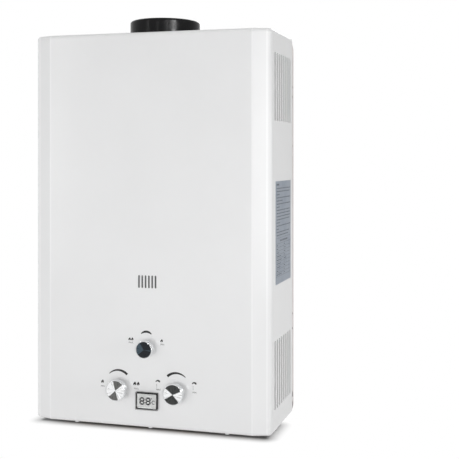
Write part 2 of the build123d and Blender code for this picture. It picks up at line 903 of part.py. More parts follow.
with BuildPart() as electrode_bracket:
    block(
        (-electrode_half_bracket, electrode_half_bracket),
        (bracket_front_face_y, burner_front_y),
        (bar_top_z, burner_top_z),
    )
    for electrode_x in electrode_xs:
        rod_y(
            electrode_x,
            (bracket_front_face_y - through, burner_front_y + through),
            electrode_z,
            ceramic_radius + ceramic_fit,
            Mode.SUBTRACT,
        )
save(electrode_bracket.part, "electrode_bracket")


def electrode(electrode_x):
    """A ceramic insulator with a metal rod that stands over the burner bars."""
    with BuildPart() as built:
        rod_y(electrode_x, (ceramic_front_y, ceramic_rear_y), electrode_z, ceramic_radius)
        fillet(built.edges().filter_by(GeomType.CIRCLE), ceramic_edge)
        rod_y(
            electrode_x,
            (ceramic_front_y - electrode_terminal, ceramic_rear_y + electrode_reach),
            electrode_z,
            electrode_radius,
        )
    return built.part


for electrode_name, electrode_x in zip(("igniter_electrode", "flame_sensor"), electrode_xs):
    save(electrode(electrode_x), electrode_name)

# ================================================================ hood posts
post_ys = (jacket_y - post_spacing / 2, jacket_y + post_spacing / 2)
post_inner_x = jacket_width / 2
post_outer_x = hood_width / 2 - hood_sheet
post_step_z = hood_bottom_z - post_sheet
post_foot_z = fin_z + tube_radius + post_tube_gap

with BuildPart() as hood_posts:
    for side in (-1, 1):
        for post_y in post_ys:
            low_x = sorted((side * post_inner_x, side * (post_inner_x + post_sheet)))
            step_x = sorted((side * post_inner_x, side * post_outer_x))
            high_x = sorted((side * (post_outer_x - post_sheet), side * post_outer_x))
            post_y_range = (post_y - post_width / 2, post_y + post_width / 2)
            block(low_x, post_y_range, (post_foot_z, post_step_z))
            block(step_x, post_y_range, (post_step_z - post_sheet, post_step_z))
            block(high_x, post_y_range, (post_step_z - post_sheet, hood_bottom_z + post_width))
save(hood_posts.part, "hood_posts")


# ================================================================ pipes
def bent_pipe(points, radii, outer_radius, wall):
    """A round pipe along straight runs joined by tangent bends."""
    with BuildPart() as built:
        with BuildLine() as route:
            FilletPolyline(*points, radius=radii)
        start = route.line ^ 0
        with BuildSketch(start):
            Circle(outer_radius)
            if wall:
                Circle(outer_radius - wall, mode=Mode.SUBTRACT)
        sweep()
    return built.part


cold_riser_y = front_y + cold_riser_setback
cold_port_z = case_bottom + cold_port_rise
union_z = case_bottom + union_rise
water_right_x = knob_offset + valve_width / 2
coil_side_x = jacket_width / 2 + coil_gap + coil_radius
cold_riser_x = coil_side_x + cold_riser_reach
coil_front_y = jacket_front_y - coil_gap - coil_radius
coil_rear_y = jacket_rear_y + coil_gap + coil_radius
coil_first_z = jacket_bottom_z + coil_first_rise
coil_turns = int((fin_z - coil_end_drop - coil_first_z) / coil_pitch) + 1

cold_pipe = bent_pipe(
    [
        (water_right_x, cold_riser_y, cold_port_z),
        (cold_riser_x, cold_riser_y, cold_port_z),
        (cold_riser_x, cold_riser_y, union_z),
    ],
    [coil_bend],
    coil_radius,
    coil_wall,
)
save(cold_pipe, "cold_pipe")

coil_corners = [
    (-coil_side_x, coil_front_y),
    (-coil_side_x, coil_rear_y),
    (coil_side_x, coil_rear_y),
    (coil_side_x, coil_front_y),
]
coil_points = [
    (cold_riser_x, cold_riser_y, union_z),
    (cold_riser_x, cold_riser_y, coil_first_z - coil_entry_run),
    (coil_side_x + coil_entry_run, coil_front_y, coil_first_z),
]
for corner_index in range(coil_turns * len(coil_corners) - 1):
    corner_x, corner_y = coil_corners[corner_index % len(coil_corners)]
    corner_z = coil_first_z + (corner_index + 1) * coil_pitch / len(coil_corners)
    coil_points.append((corner_x, corner_y, corner_z))
coil_exit_x = tube_end_x + coil_exit_reach
coil_points.append((coil_exit_x, tube_ys[0], coil_points[-1][2] + coil_lift))
coil_points.append((coil_exit_x, tube_ys[0], fin_z))
coil_points.append((tube_end_x, tube_ys[0], fin_z))
coil_radii = [coil_bend] * (len(coil_points) - 3) + [coil_exit_bend]
save(bent_pipe(coil_points, coil_radii, coil_radius, coil_wall), "jacket_coil")

hot_pipe_x = -tube_end_x - hot_pipe_reach
hot_pipe_y = tube_ys[-1]
hot_fitting_top_z = shelf_top_z + nut_height + hot_fitting_height
hot_pipe = bent_pipe(
    [
        (-tube_end_x, hot_pipe_y, fin_z),
        (hot_pipe_x, hot_pipe_y, fin_z),
        (hot_pipe_x, hot_pipe_y, case_bottom + hot_pipe_lower_rise),
        (hot_outlet_x, connection_y, case_bottom + hot_pipe_foot_rise),
        (hot_outlet_x, connection_y, hot_fitting_top_z),
    ],
    [hot_pipe_bend] * 3,
    coil_radius,
    coil_wall,
)
save(hot_pipe, "hot_pipe")

hot_union_z = case_bottom + hot_union_rise
with BuildPart() as pipe_unions:
    for union_x, union_y, middle_z in (
        (cold_riser_x, cold_riser_y, union_z),
        (hot_pipe_x, hot_pipe_y, hot_union_z),
    ):
        with BuildSketch(Plane.XY.offset(middle_z - union_height / 2)):
            with Locations((union_x, union_y)):
                RegularPolygon(union_radius, 6)
                Circle(coil_radius + tube_fit, mode=Mode.SUBTRACT)
        extrude(amount=union_height)
save(pipe_unions.part, "pipe_unions")

probe_z = case_bottom + probe_rise
with BuildPart() as temperature_probe:
    rod_z(
        hot_pipe_x,
        hot_pipe_y,
        (probe_z - probe_clamp_height / 2, probe_z + probe_clamp_height / 2),
        coil_radius + probe_clamp_wall,
    )
    rod_y(hot_pipe_x, (hot_pipe_y - coil_radius - probe_length, hot_pipe_y), probe_z, probe_radius)
    rod_z(
        hot_pipe_x,
        hot_pipe_y,
        (probe_z - probe_clamp_height, probe_z + probe_clamp_height),
        coil_radius + tube_fit,
        Mode.SUBTRACT,
    )
save(temperature_probe.part, "temperature_probe")

thermostat_z = fin_z - thermostat_drop
thermostat_seat_x = -jacket_width / 2
thermostat_face_x = thermostat_seat_x - thermostat_thickness
with BuildPart() as overheat_thermostat:
    rod_x((thermostat_face_x, thermostat_seat_x), jacket_y, thermostat_z, thermostat_radius)
    rod_x(
        (thermostat_face_x - thermostat_cap_height, thermostat_face_x),
        jacket_y,
        thermostat_z,
        thermostat_cap_radius,
    )
save(overheat_thermostat.part, "overheat_thermostat")

# ================================================================ pipe connections
valve_bottom_z = knob_z - valve_height / 2
valve_top_z = knob_z + valve_height / 2
stub_bottom_z = case_bottom - stub_below_case
stub_shank_z = shelf_bottom_z - locknut_height - stub_shank_reach


def connection(stub_x, top_z):
    """A male stub below the case, a hexagon that seats on the shelf and a neck up to its valve or pipe."""
    with BuildPart() as built:
        rod_z(stub_x, connection_y, (stub_bottom_z, shelf_top_z), stub_radius)
        chamfer(built.faces().sort_by(Axis.Z)[0].edges(), stub_chamfer)
        rod_z(stub_x, connection_y, (stub_shank_z, shelf_top_z), stub_shank_radius)
        with BuildSketch(Plane.XY.offset(shelf_top_z)):
            with Locations((stub_x, connection_y)):
                RegularPolygon(nut_radius, 6)
        extrude(amount=nut_height)
        rod_z(stub_x, connection_y, (shelf_top_z + nut_height, top_z), fitting_radius)
        rod_z(stub_x, connection_y, (stub_bottom_z - through, top_z + through), fitting_bore, Mode.SUBTRACT)
    return built.part


save(connection(hot_outlet_x, hot_fitting_top_z), "hot_outlet")
save(connection(-knob_offset, valve_bottom_z), "gas_inlet")
save(connection(knob_offset, valve_bottom_z), "water_inlet")

with BuildPart() as connection_locknuts:
    for stub_x, stub_y in stub_places:
        with BuildSketch(Plane.XY.offset(shelf_bottom_z - locknut_height)):
            with Locations((stub_x, stub_y)):
                RegularPolygon(nut_radius, 6)
                Circle(stub_shank_radius + screw_fit, mode=Mode.SUBTRACT)
        extrude(amount=locknut_height)
save(connection_locknuts.part, "connection_locknuts")

# ================================================================ water valve body
valve_front_y = front_y + valve_setback_front
valve_rear_y = valve_front_y + valve_depth
valve_y = (valve_front_y + valve_rear_y) / 2
boss_front_y = front_y + boss_front_setback
water_left_x = knob_offset - valve_width / 2
flange_left_x = water_left_x - flange_thickness
diaphragm_left_x = flange_left_x - diaphragm_thickness
housing_left_x = diaphragm_left_x - housing_cover_thickness
gas_right_x = -knob_offset + valve_width / 2
gas_left_x = -knob_offset - valve_width / 2
spindle_rear_y = valve_front_y + spindle_inside


def valve_block(centre_x):
    """A cast valve block with a round boss for its spindle and the spindle's bore."""
    with BuildPart() as built:
        block(
            (centre_x - valve_width / 2, centre_x + valve_width / 2),
            (valve_front_y, valve_rear_y),
            (valve_bottom_z, valve_top_z),
        )
        fillet(built.edges().filter_by(Axis.Y), valve_edge)
        rod_y(centre_x, (boss_front_y, valve_front_y), knob_z, boss_radius)
        fillet(built.faces().sort_by(Axis.Y)[0].edges(), edge_break)
        rod_y(
            centre_x,
            (boss_front_y - through, spindle_rear_y + panel_fit),
            knob_z,
            spindle_radius + spindle_fit,
            Mode.SUBTRACT,
        )
    return built.part


bolt_places = [
    (
        valve_y + housing_bolt_circle * math.cos(math.radians(360 / housing_bolt_count * index)),
        knob_z + housing_bolt_circle * math.sin(math.radians(360 / housing_bolt_count * index)),
    )
    for index in range(housing_bolt_count)
]

with BuildPart() as water_valve_body:
    add(valve_block(knob_offset))
    rod_x((flange_left_x, water_left_x), valve_y, knob_z, housing_radius)
    for bolt_y, bolt_z in bolt_places:
        rod_x(
            (flange_left_x - through, flange_left_x + housing_bolt_engagement),
            bolt_y,
            bolt_z,
            housing_bolt_radius + spindle_fit,
            Mode.SUBTRACT,
        )
save(water_valve_body.part, "water_valve_body")

with BuildPart() as diaphragm:
    rod_x((diaphragm_left_x, flange_left_x), valve_y, knob_z, housing_radius)
    for bolt_y, bolt_z in bolt_places:
        rod_x(
            (diaphragm_left_x - through, flange_left_x + through),
            bolt_y,
            bolt_z,
            housing_bolt_radius + spindle_fit,
            Mode.SUBTRACT,
        )
save(diaphragm.part, "diaphragm")

with BuildPart() as diaphragm_cover:
    rod_x((housing_left_x, diaphragm_left_x), valve_y, knob_z, housing_radius)
    fillet(diaphragm_cover.faces().sort_by(Axis.X)[0].edges(), edge_break)
    rod_x(
        (diaphragm_left_x - housing_cavity_depth, diaphragm_left_x + through),
        valve_y,
        knob_z,
        housing_cavity_radius,
        Mode.SUBTRACT,
    )
    rod_x(
        (housing_left_x - through, diaphragm_left_x),
        valve_y,
        knob_z,
        push_rod_radius + spindle_fit,
        Mode.SUBTRACT,
    )
    for bolt_y, bolt_z in bolt_places:
        rod_x(
            (housing_left_x - through, diaphragm_left_x + through),
            bolt_y,
            bolt_z,
            housing_bolt_radius + spindle_fit,
            Mode.SUBTRACT,
        )
save(diaphragm_cover.part, "diaphragm_cover")

with BuildPart() as housing_bolts:
    for bolt_y, bolt_z in bolt_places:
        rod_x(
            (housing_left_x, flange_left_x + housing_bolt_engagement), bolt_y, bolt_z, housing_bolt_radius
        )
        with BuildSketch(Plane.YZ.offset(housing_left_x)):
            with Locations((bolt_y, bolt_z)):
                RegularPolygon(housing_bolt_hex, 6)
        extrude(amount=-housing_bolt_head)
save(housing_bolts.part, "housing_bolts")

# ================================================================ gas valve body
rod_end_x = gas_right_x - push_rod_inside

with BuildPart() as gas_valve_body:
    add(valve_block(-knob_offset))
    rod_x(
        (rod_end_x - push_rod_travel - panel_fit, gas_right_x + through),
        valve_y,
        knob_z,
        push_rod_radius + spindle_fit,
        Mode.SUBTRACT,
    )
save(gas_valve_body.part, "gas_valve_body")

with BuildPart() as push_rod:
    disc_right_x = diaphragm_left_x - push_disc_gap
    disc_left_x = disc_right_x - push_disc_thickness
    collar_left_x = housing_left_x - collar_disc_offset
    rod_x((disc_left_x, disc_right_x), valve_y, knob_z, push_disc_radius)
    rod_x((rod_end_x, disc_left_x), valve_y, knob_z, push_rod_radius)
    rod_x((collar_left_x, collar_left_x + collar_disc_thickness), valve_y, knob_z, collar_disc_radius)
save(push_rod.part, "push_rod")

with BuildPart() as solenoid_valve:
    solenoid_right_x = gas_left_x - solenoid_neck
    rod_x((solenoid_right_x, gas_left_x), valve_y, knob_z, solenoid_neck_radius)
    rod_x((solenoid_right_x - solenoid_length, solenoid_right_x), valve_y, knob_z, solenoid_radius)
    fillet(solenoid_valve.edges().filter_by(GeomType.CIRCLE).group_by(Axis.X)[0], solenoid_edge)
save(solenoid_valve.part, "solenoid_valve")

# ================================================================ microswitch and its lever
lever_x = collar_left_x - lever_gap - lever_thickness / 2
lever_z = knob_z + lever_pivot_rise
switch_bottom_z = lever_z + lever_hub_radius + lever_switch_gap
switch_half_depth = switch_depth / 2
ear_inner = lever_width / 2 + lever_gap

with BuildPart() as microswitch:
    block(
        (housing_left_x - switch_width, housing_left_x),
        (valve_y - switch_half_depth, valve_y + switch_half_depth),
        (switch_bottom_z, switch_bottom_z + switch_height),
    )
    for low_y, high_y in (
        (valve_y - switch_half_depth, valve_y - ear_inner),
        (valve_y + ear_inner, valve_y + switch_half_depth),
    ):
        block(
            (lever_x - lever_hub_radius, lever_x + lever_hub_radius),
            (low_y, high_y),
            (lever_z - lever_hub_radius, switch_bottom_z),
        )
    rod_y(
        lever_x,
        (valve_y - switch_depth, valve_y + switch_depth),
        lever_z,
        lever_pin_radius + spindle_fit,
        Mode.SUBTRACT,
    )
save(microswitch.part, "microswitch")

with BuildPart() as switch_lever:
    rod_y(lever_x, (valve_y - lever_width / 2, valve_y + lever_width / 2), lever_z, lever_hub_radius)
    rod_y(lever_x, (valve_y - switch_half_depth, valve_y + switch_half_depth), lever_z, lever_pin_radius)
    block(
        (lever_x - lever_thickness / 2, lever_x + lever_thickness / 2),
        (valve_y - lever_width / 2, valve_y + lever_width / 2),
        (knob_z + lever_tip_above_axis, lever_z),
    )
save(switch_lever.part, "switch_lever")

# ================================================================ season valve and gas riser
season_front_y = front_y + season_front_setback
season_rear_y = season_front_y + season_depth
season_neck_y = season_front_y + season_neck_radius + panel_fit
season_top_z = season_z + season_height / 2
season_spindle_rear_y = season_front_y + spindle_inside

with BuildPart() as season_valve_body:
    block(
        (-season_width / 2, season_width / 2),
        (season_front_y, season_rear_y),
        (season_z - season_height / 2, season_top_z),
    )
    fillet(season_valve_body.edges().filter_by(Axis.Y), valve_edge)
    rod_z(0, season_neck_y, (season_top_z, manifold_bottom_z), season_neck_radius)
    rod_y(
        0,
        (season_front_y - through, season_spindle_rear_y + panel_fit),
        season_z,
        spindle_radius + spindle_fit,
        Mode.SUBTRACT,
    )
save(season_valve_body.part, "season_valve_body")

riser_y = front_y + riser_setback
with BuildPart() as gas_riser:
    add(
        bent_pipe(
            [
                (-knob_offset, riser_y, valve_top_z),
                (-knob_offset, riser_y, season_z),
                (-season_width / 2, riser_y, season_z),
            ],
            [riser_bend],
            riser_radius,
            0,
        )
    )
    rod_z(-knob_offset, riser_y, (valve_top_z, valve_top_z + riser_flange_thickness), riser_flange_radius)
    rod_x(
        (-season_width / 2 - riser_flange_thickness, -season_width / 2),
        riser_y,
        season_z,
        riser_flange_radius,
    )
save(gas_riser.part, "gas_riser")

# ================================================================ spindles and knobs
knob_neck_rear_y = front_y + knob_neck_inside
cap_rear_y = front_y - knob_reach + knob_cap_thickness
cap_front_y = front_y - knob_reach
socket_end_y = knob_neck_rear_y - knob_socket_depth
flat_height = spindle_radius - spindle_flat
controls = [
    ("gas", -knob_offset, knob_z, knob_radius, gas_pointer_angle, spindle_rear_y),
    ("water", knob_offset, knob_z, knob_radius, gas_pointer_angle, spindle_rear_y),
    ("season", 0, season_z, season_knob_radius, season_pointer_angle, season_spindle_rear_y),
]


def spindle(centre_x, centre_z, rear_y):
    """A round valve spindle with a flat along the end that its knob grips."""
    with BuildPart() as built:
        rod_y(centre_x, (socket_end_y + panel_fit, rear_y), centre_z, spindle_radius)
        block(
            (centre_x - spindle_radius, centre_x + spindle_radius),
            (socket_end_y, knob_neck_rear_y),
            (centre_z + flat_height, centre_z + spindle_radius),
            mode=Mode.SUBTRACT,
        )
    return built.part


def pointer_cut(centre_x, centre_z, radius, pointer_angle):
    """Cut the pointer notch into the rim of the piece being built."""
    with BuildSketch(Plane.XZ.offset(-cap_front_y)) as notch:
        with Locations(Location((centre_x, centre_z), -pointer_angle)):
            with Locations((0, radius)):
                Rectangle(pointer_width, pointer_length)
    extrude(notch.sketch, amount=-pointer_notch, mode=Mode.SUBTRACT)


def knob(centre_x, centre_z, radius, pointer_angle):
    """A round cap on a slim neck, with a D socket, a recess for its face and a pointer notch in the rim."""
    with BuildPart() as built:
        rod_y(centre_x, (cap_front_y, cap_rear_y), centre_z, radius)
        fillet(built.edges().filter_by(GeomType.CIRCLE), knob_edge_radius)
        rod_y(centre_x, (cap_rear_y, knob_neck_rear_y), centre_z, knob_neck_radius)
        rod_y(
            centre_x,
            (cap_front_y - through, cap_front_y + face_depth),
            centre_z,
            radius - knob_edge_radius - face_inset,
            Mode.SUBTRACT,
        )
        with BuildSketch(Plane.XZ.offset(-knob_neck_rear_y)):
            with Locations((centre_x, centre_z)):
                Circle(spindle_radius + spindle_fit)
                with Locations((0, flat_height + spindle_fit + knob_neck_radius / 2)):
                    Rectangle(2 * knob_neck_radius, knob_neck_radius, mode=Mode.SUBTRACT)
        extrude(amount=knob_socket_depth, mode=Mode.SUBTRACT)
        pointer_cut(centre_x, centre_z, radius, pointer_angle)
    return built.part


def knob_face(centre_x, centre_z, radius, pointer_angle):
    """The spun metal disc let into a knob's front, notched at the pointer."""
    face_radius = radius - knob_edge_radius - face_inset - spindle_fit
    with BuildPart() as built:
        rod_y(centre_x, (cap_front_y, cap_front_y + face_depth), centre_z, face_radius)
        fillet(built.faces().sort_by(Axis.Y)[0].edges(), edge_break)
        pointer_cut(centre_x, centre_z, radius, pointer_angle)
    return built.part


for control, centre_x, centre_z, cap_radius, pointer_angle, rear_y in controls:
    save(spindle(centre_x, centre_z, rear_y), f"{control}_spindle")
    save(knob(centre_x, centre_z, cap_radius, pointer_angle), f"{control}_knob")
    save(knob_face(centre_x, centre_z, cap_radius, pointer_angle), f"{control}_knob_face")

# ================================================================ vent window
vent_half_width = (vent_pitch * (vent_count - 1) + vent_width) / 2 + mica_border
vent_half_height = vent_height / 2 + mica_border

with BuildPart() as vent_window:
    block(
        (vent_centre_x - vent_half_width, vent_centre_x + vent_half_width),
        (inner_front_y, inner_front_y + mica_sheet),
        (vent_z - vent_half_height, vent_z + vent_half_height),
    )
save(vent_window.part, "vent_window")

# ================================================================ temperature display
bezel_front_y = front_y - display_reach
bezel_rear_y = front_y + display_body_depth
glass_front_y = bezel_front_y + display_glass_inset
glass_rear_y = glass_front_y + display_glass_thickness
body_width = display_width - 2 * display_collar
body_height = display_height - 2 * display_collar
glass_width = display_width - 2 * display_frame
glass_height = display_height - 2 * display_frame
board_width = glass_width - 2 * display_collar
board_height = glass_height - 2 * display_collar


def display_block(width, height, y_range, mode=Mode.ADD):
    """A rectangular block centred on the display's axis."""
    block(
        (display_centre_x - width / 2, display_centre_x + width / 2),
        y_range,
        (display_z - height / 2, display_z + height / 2),
        mode,
    )


with BuildPart() as display_bezel:
    display_block(display_width, display_height, (bezel_front_y, front_y))
    fillet(display_bezel.edges().filter_by(Axis.Y), display_corner_radius)
    display_block(body_width, body_height, (front_y, bezel_rear_y))
    display_block(glass_width, glass_height, (bezel_front_y - through, glass_rear_y), Mode.SUBTRACT)
    display_block(board_width, board_height, (glass_rear_y, bezel_rear_y + through), Mode.SUBTRACT)
save(display_bezel.part, "display_bezel")

with BuildPart() as display_window:
    display_block(
        glass_width - 2 * display_fit, glass_height - 2 * display_fit, (glass_front_y, glass_rear_y)
    )
save(display_window.part, "display_window")

with BuildPart() as display_board:
    display_block(
        board_width - 2 * display_fit,
        board_height - 2 * display_fit,
        (glass_rear_y + display_fit, glass_rear_y + display_fit + display_board_thickness),
    )
save(display_board.part, "display_board")

# ================================================================ battery box, lid, cells and contacts
ear_front = (battery_front_y, battery_front_y + hinge_ear_length)
ear_rear = (battery_rear_y - hinge_ear_length, battery_rear_y)
battery_middle_y = (battery_front_y + battery_rear_y) / 2

with BuildPart() as battery_box:
    block(
        (battery_left_x, battery_right_x),
        (battery_front_y, battery_rear_y),
        (battery_mouth_z, battery_top_z),
    )
    fillet(battery_box.edges().filter_by(Axis.Z), battery_edge)
    block(
        (battery_left_x + battery_wall, battery_right_x - battery_wall),
        (battery_front_y + battery_wall, battery_rear_y - battery_wall),
        (battery_mouth_z - through, battery_top_z - battery_wall),
        mode=Mode.SUBTRACT,
    )
    block(
        (battery_left_x - battery_tab, battery_left_x + battery_wall / 2),
        (battery_front_y + battery_wall, battery_rear_y - battery_wall),
        (shelf_top_z, shelf_top_z + battery_tab_thickness),
    )
    for ear in (ear_front, ear_rear):
        rod_y(hinge_x, ear, hinge_z, hinge_radius)
        block((hinge_x, battery_left_x), ear, (hinge_z, hinge_z + hinge_radius))
        rod_y(
            hinge_x,
            (ear[0] - through, ear[1] + through),
            hinge_z,
            hinge_pin_radius + hinge_pin_fit,
            Mode.SUBTRACT,
        )
save(battery_box.part, "battery_box")

with BuildPart() as battery_lid:
    lid_top_z = battery_mouth_z - battery_lid_gap
    barrel = (ear_front[1] + hinge_end_gap, ear_rear[0] - hinge_end_gap)
    latch_y_range = (battery_middle_y - latch_width / 2, battery_middle_y + latch_width / 2)
    latch_inner_x = battery_right_x + battery_lid_gap
    latch_outer_x = latch_inner_x + latch_thickness
    latch_top_z = battery_bottom_z + latch_height
    block(
        (battery_left_x, battery_right_x),
        (battery_front_y, battery_rear_y),
        (battery_bottom_z, lid_top_z),
    )
    fillet(battery_lid.edges().filter_by(Axis.Z), battery_edge)
    block((hinge_x, battery_left_x + battery_wall), barrel, (hinge_z - hinge_radius, lid_top_z))
    rod_y(hinge_x, barrel, hinge_z, hinge_radius)
    rod_y(hinge_x, (ear_front[0], ear_rear[1]), hinge_z, hinge_pin_radius)
    block((battery_right_x - battery_wall, latch_outer_x), latch_y_range, (battery_bottom_z, lid_top_z))
    block((latch_inner_x, latch_outer_x), latch_y_range, (battery_bottom_z, latch_top_z))
    block((latch_outer_x, latch_outer_x + latch_nub), latch_y_range, (latch_top_z - nub_height, latch_top_z))
save(battery_lid.part, "battery_lid")

cell_x = (battery_left_x + battery_right_x) / 2
cell_zs = [
    battery_mouth_z + battery_lid_gap + cell_radius + index * (2 * cell_radius + cell_gap)
    for index in range(cell_count)
]
cell_rear_y = battery_middle_y + cell_length / 2 - cell_tip_length
cell_front_y = battery_middle_y - cell_length / 2

with BuildPart() as battery_cells:
    for cell_z in cell_zs:
        rod_y(cell_x, (cell_front_y, cell_rear_y), cell_z, cell_radius)
        rod_y(cell_x, (cell_rear_y, cell_rear_y + cell_tip_length), cell_z, cell_tip_radius)
save(battery_cells.part, "battery_cells")

contact_ys = (
    (battery_front_y + battery_wall, battery_front_y + battery_wall + contact_thickness),
    (battery_rear_y - battery_wall - contact_thickness, battery_rear_y - battery_wall),
)
with BuildPart() as battery_contacts:
    for contact_y in contact_ys:
        for cell_z in cell_zs:
            block(
                (cell_x - contact_size / 2, cell_x + contact_size / 2),
                contact_y,
                (cell_z - contact_size / 2, cell_z + contact_size / 2),
            )
save(battery_contacts.part, "battery_contacts")

# ================================================================ ignition controller
controller_z = case_bottom + controller_rise
controller_front_y = shelf_rear_y - controller_depth
controller_top_z = controller_z + controller_height / 2
controller_left_x = -side_x + controller_side_gap

with BuildPart() as ignition_controller:
    block(
        (controller_left_x, controller_left_x + controller_width),
        (controller_front_y, shelf_rear_y),
        (controller_z - controller_height / 2, controller_top_z),
    )
    front_edges = ignition_controller.faces().sort_by(Axis.Y)[0].edges()
    fillet(front_edges, controller_edge)
save(ignition_controller.part, "ignition_controller")

# ================================================================ pan-head screws
ear_face_y = shelf_rear_y - burner_sheet
screw_heads = [Location((x, y, case_bottom), (180, 0, 0)) for x, y in cover_screw_places]
screw_heads += [
    Location((side * ear_screw_x, ear_face_y, screw_z), (90, 0, 0))
    for side in (-1, 1)
    for screw_z in ear_screw_zs
]
screw_shanks = [screw_length] * cover_screw_count + [burner_sheet] * (len(screw_heads) - cover_screw_count)

with BuildPart() as case_screws:
    for place, shank in zip(screw_heads, screw_shanks):
        with Locations(place):
            Cylinder(screw_head_radius, screw_head_height, align=(Align.CENTER, Align.CENTER, Align.MIN))
            with Locations((0, 0, -shank / 2)):
                Cylinder(screw_radius, shank)
            with Locations((0, 0, screw_head_height)):
                Box(2 * screw_head_radius, screw_slot_width, 2 * screw_slot_depth, mode=Mode.SUBTRACT)
save(case_screws.part, "case_screws")

# ================================================================ ignition leads
lead_start_y = ceramic_front_y - electrode_terminal
lead_front_y = inner_front_y + lead_panel_gap
lead_side_x = -burner_half_width - lead_side_gap
lead_turn_y = (burner_front_y + burner_rear_y) / 2
with BuildPart() as ignition_leads:
    for electrode_x, lead_drop, lead_shift in zip(electrode_xs, lead_drops, lead_shifts):
        end_x = lead_side_x - lead_shift
        add(
            bent_pipe(
                [
                    (electrode_x, lead_start_y, electrode_z),
                    (electrode_x, lead_front_y, electrode_z),
                    (end_x + lead_step, lead_front_y, electrode_z - lead_drop),
                    (end_x, lead_turn_y, electrode_z - 2 * lead_drop),
                    (end_x, lead_back_y, controller_top_z + lead_rise),
                    (end_x, lead_back_y, controller_top_z),
                ],
                lead_bends,
                lead_radius,
                0,
            )
        )
save(ignition_leads.part, "ignition_leads")
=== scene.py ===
"""Finishes, printed marks, wiring and studio for a wall-hung tankless gas water heater.

The pieces arrive from the frame in metres: the wall plane is y = 0, the front panel faces -Y, +Z is up
and +X is to the right of someone facing the heater.
"""

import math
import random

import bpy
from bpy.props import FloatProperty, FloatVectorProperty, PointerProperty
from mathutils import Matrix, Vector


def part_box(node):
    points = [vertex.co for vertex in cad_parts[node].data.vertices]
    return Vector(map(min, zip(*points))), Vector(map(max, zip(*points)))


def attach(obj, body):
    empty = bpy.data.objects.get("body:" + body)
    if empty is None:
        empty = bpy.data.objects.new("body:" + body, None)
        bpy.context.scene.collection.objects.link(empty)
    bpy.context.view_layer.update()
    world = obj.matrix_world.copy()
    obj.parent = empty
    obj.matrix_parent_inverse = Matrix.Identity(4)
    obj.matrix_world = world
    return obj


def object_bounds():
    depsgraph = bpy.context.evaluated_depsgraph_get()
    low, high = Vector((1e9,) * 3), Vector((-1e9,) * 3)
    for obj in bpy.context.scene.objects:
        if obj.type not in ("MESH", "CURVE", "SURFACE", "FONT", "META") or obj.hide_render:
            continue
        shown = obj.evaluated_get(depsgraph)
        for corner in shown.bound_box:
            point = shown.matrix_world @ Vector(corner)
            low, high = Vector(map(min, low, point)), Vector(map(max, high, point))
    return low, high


bl_info = {
    "name": "Tankless water heater finishes",
    "version": (1, 0, 0),
    "blender": (4, 5, 0),
    "location": "3D View > Sidebar > Heater",
    "description": "Coats, prints and lights a wall-hung gas water heater",
    "category": "Object",
}

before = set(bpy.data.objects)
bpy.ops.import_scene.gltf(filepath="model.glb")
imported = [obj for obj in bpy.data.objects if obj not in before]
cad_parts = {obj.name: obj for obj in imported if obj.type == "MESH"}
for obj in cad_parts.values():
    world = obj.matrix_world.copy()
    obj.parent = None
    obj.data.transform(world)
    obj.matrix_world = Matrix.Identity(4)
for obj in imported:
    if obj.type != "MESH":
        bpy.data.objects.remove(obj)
cad_low, cad_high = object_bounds()
cover_low, cover_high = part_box("front_cover")
rating_low, rating_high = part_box("rating_plate")
case_bottom = cover_low.z
front_face = cover_low.y


# ---------------------------------------------------------------- node trees
def give(owner, key, value):
    """Link a socket to a result, or set it to a value; a colour of three numbers is made opaque."""
    socket = owner.inputs[key]
    if isinstance(value, bpy.types.NodeSocket):
        owner.id_data.links.new(value, socket)
    elif socket.type == "RGBA" and len(value) == 3:
        socket.default_value = (*value, 1.0)
    else:
        socket.default_value = value


def node(tree, kind, values=None, **settings):
    """Add a node, make its settings and fill its sockets."""
    made = tree.nodes.new(kind)
    for name, value in settings.items():
        setattr(made, name, value)
    for key, value in (values or {}).items():
        give(made, key, value)
    return made


def calc(tree, operation, first, second=0.0, third=0.0):
    """One math step; returns its result."""
    return node(tree, "ShaderNodeMath", {0: first, 1: second, 2: third}, operation=operation).outputs[0]


def gap(tree, first, second):
    """How far two values are apart."""
    return calc(tree, "ABSOLUTE", calc(tree, "SUBTRACT", first, second))


def diagonal(tree, across, up):
    """The length of the diagonal over two sides."""
    return calc(tree, "SQRT", calc(tree, "MULTIPLY_ADD", across, across, calc(tree, "MULTIPLY", up, up)))


def remap(tree, value, span, result, smooth=False):
    """Carry a value from one span to another, held at both ends."""
    keys = ("Value", "From Min", "From Max", "To Min", "To Max")
    values = dict(zip(keys, (value, *span, *result)))
    kind = "SMOOTHSTEP" if smooth else "LINEAR"
    return node(tree, "ShaderNodeMapRange", values, interpolation_type=kind).outputs["Result"]


def mix_colour(tree, factor, first, second, blend="MIX"):
    """Mix two colours; returns the result."""
    values = {0: factor, 6: first, 7: second}
    return node(tree, "ShaderNodeMix", values, data_type="RGBA", blend_type=blend).outputs[2]


def shaded(tree, colour, shade):
    """A colour multiplied by a shade."""
    return mix_colour(tree, 1.0, colour, shade, "MULTIPLY")


def noise(tree, vector, scale, detail=2.0, roughness=0.5):
    """A noise value between 0 and 1."""
    values = {"Vector": vector, "Scale": scale, "Detail": detail, "Roughness": roughness}
    return node(tree, "ShaderNodeTexNoise", values).outputs["Fac"]


def place(tree):
    """The surface's own place in metres."""
    return node(tree, "ShaderNodeTexCoord").outputs["Object"]


def vector_step(tree, operation, first, second=(0.0, 0.0, 0.0)):
    """One vector step; returns the node's results."""
    return node(tree, "ShaderNodeVectorMath", {0: first, 1: second}, operation=operation).outputs


def parts_of(tree, vector):
    """The three parts of a vector."""
    return node(tree, "ShaderNodeSeparateXYZ", {0: vector}).outputs


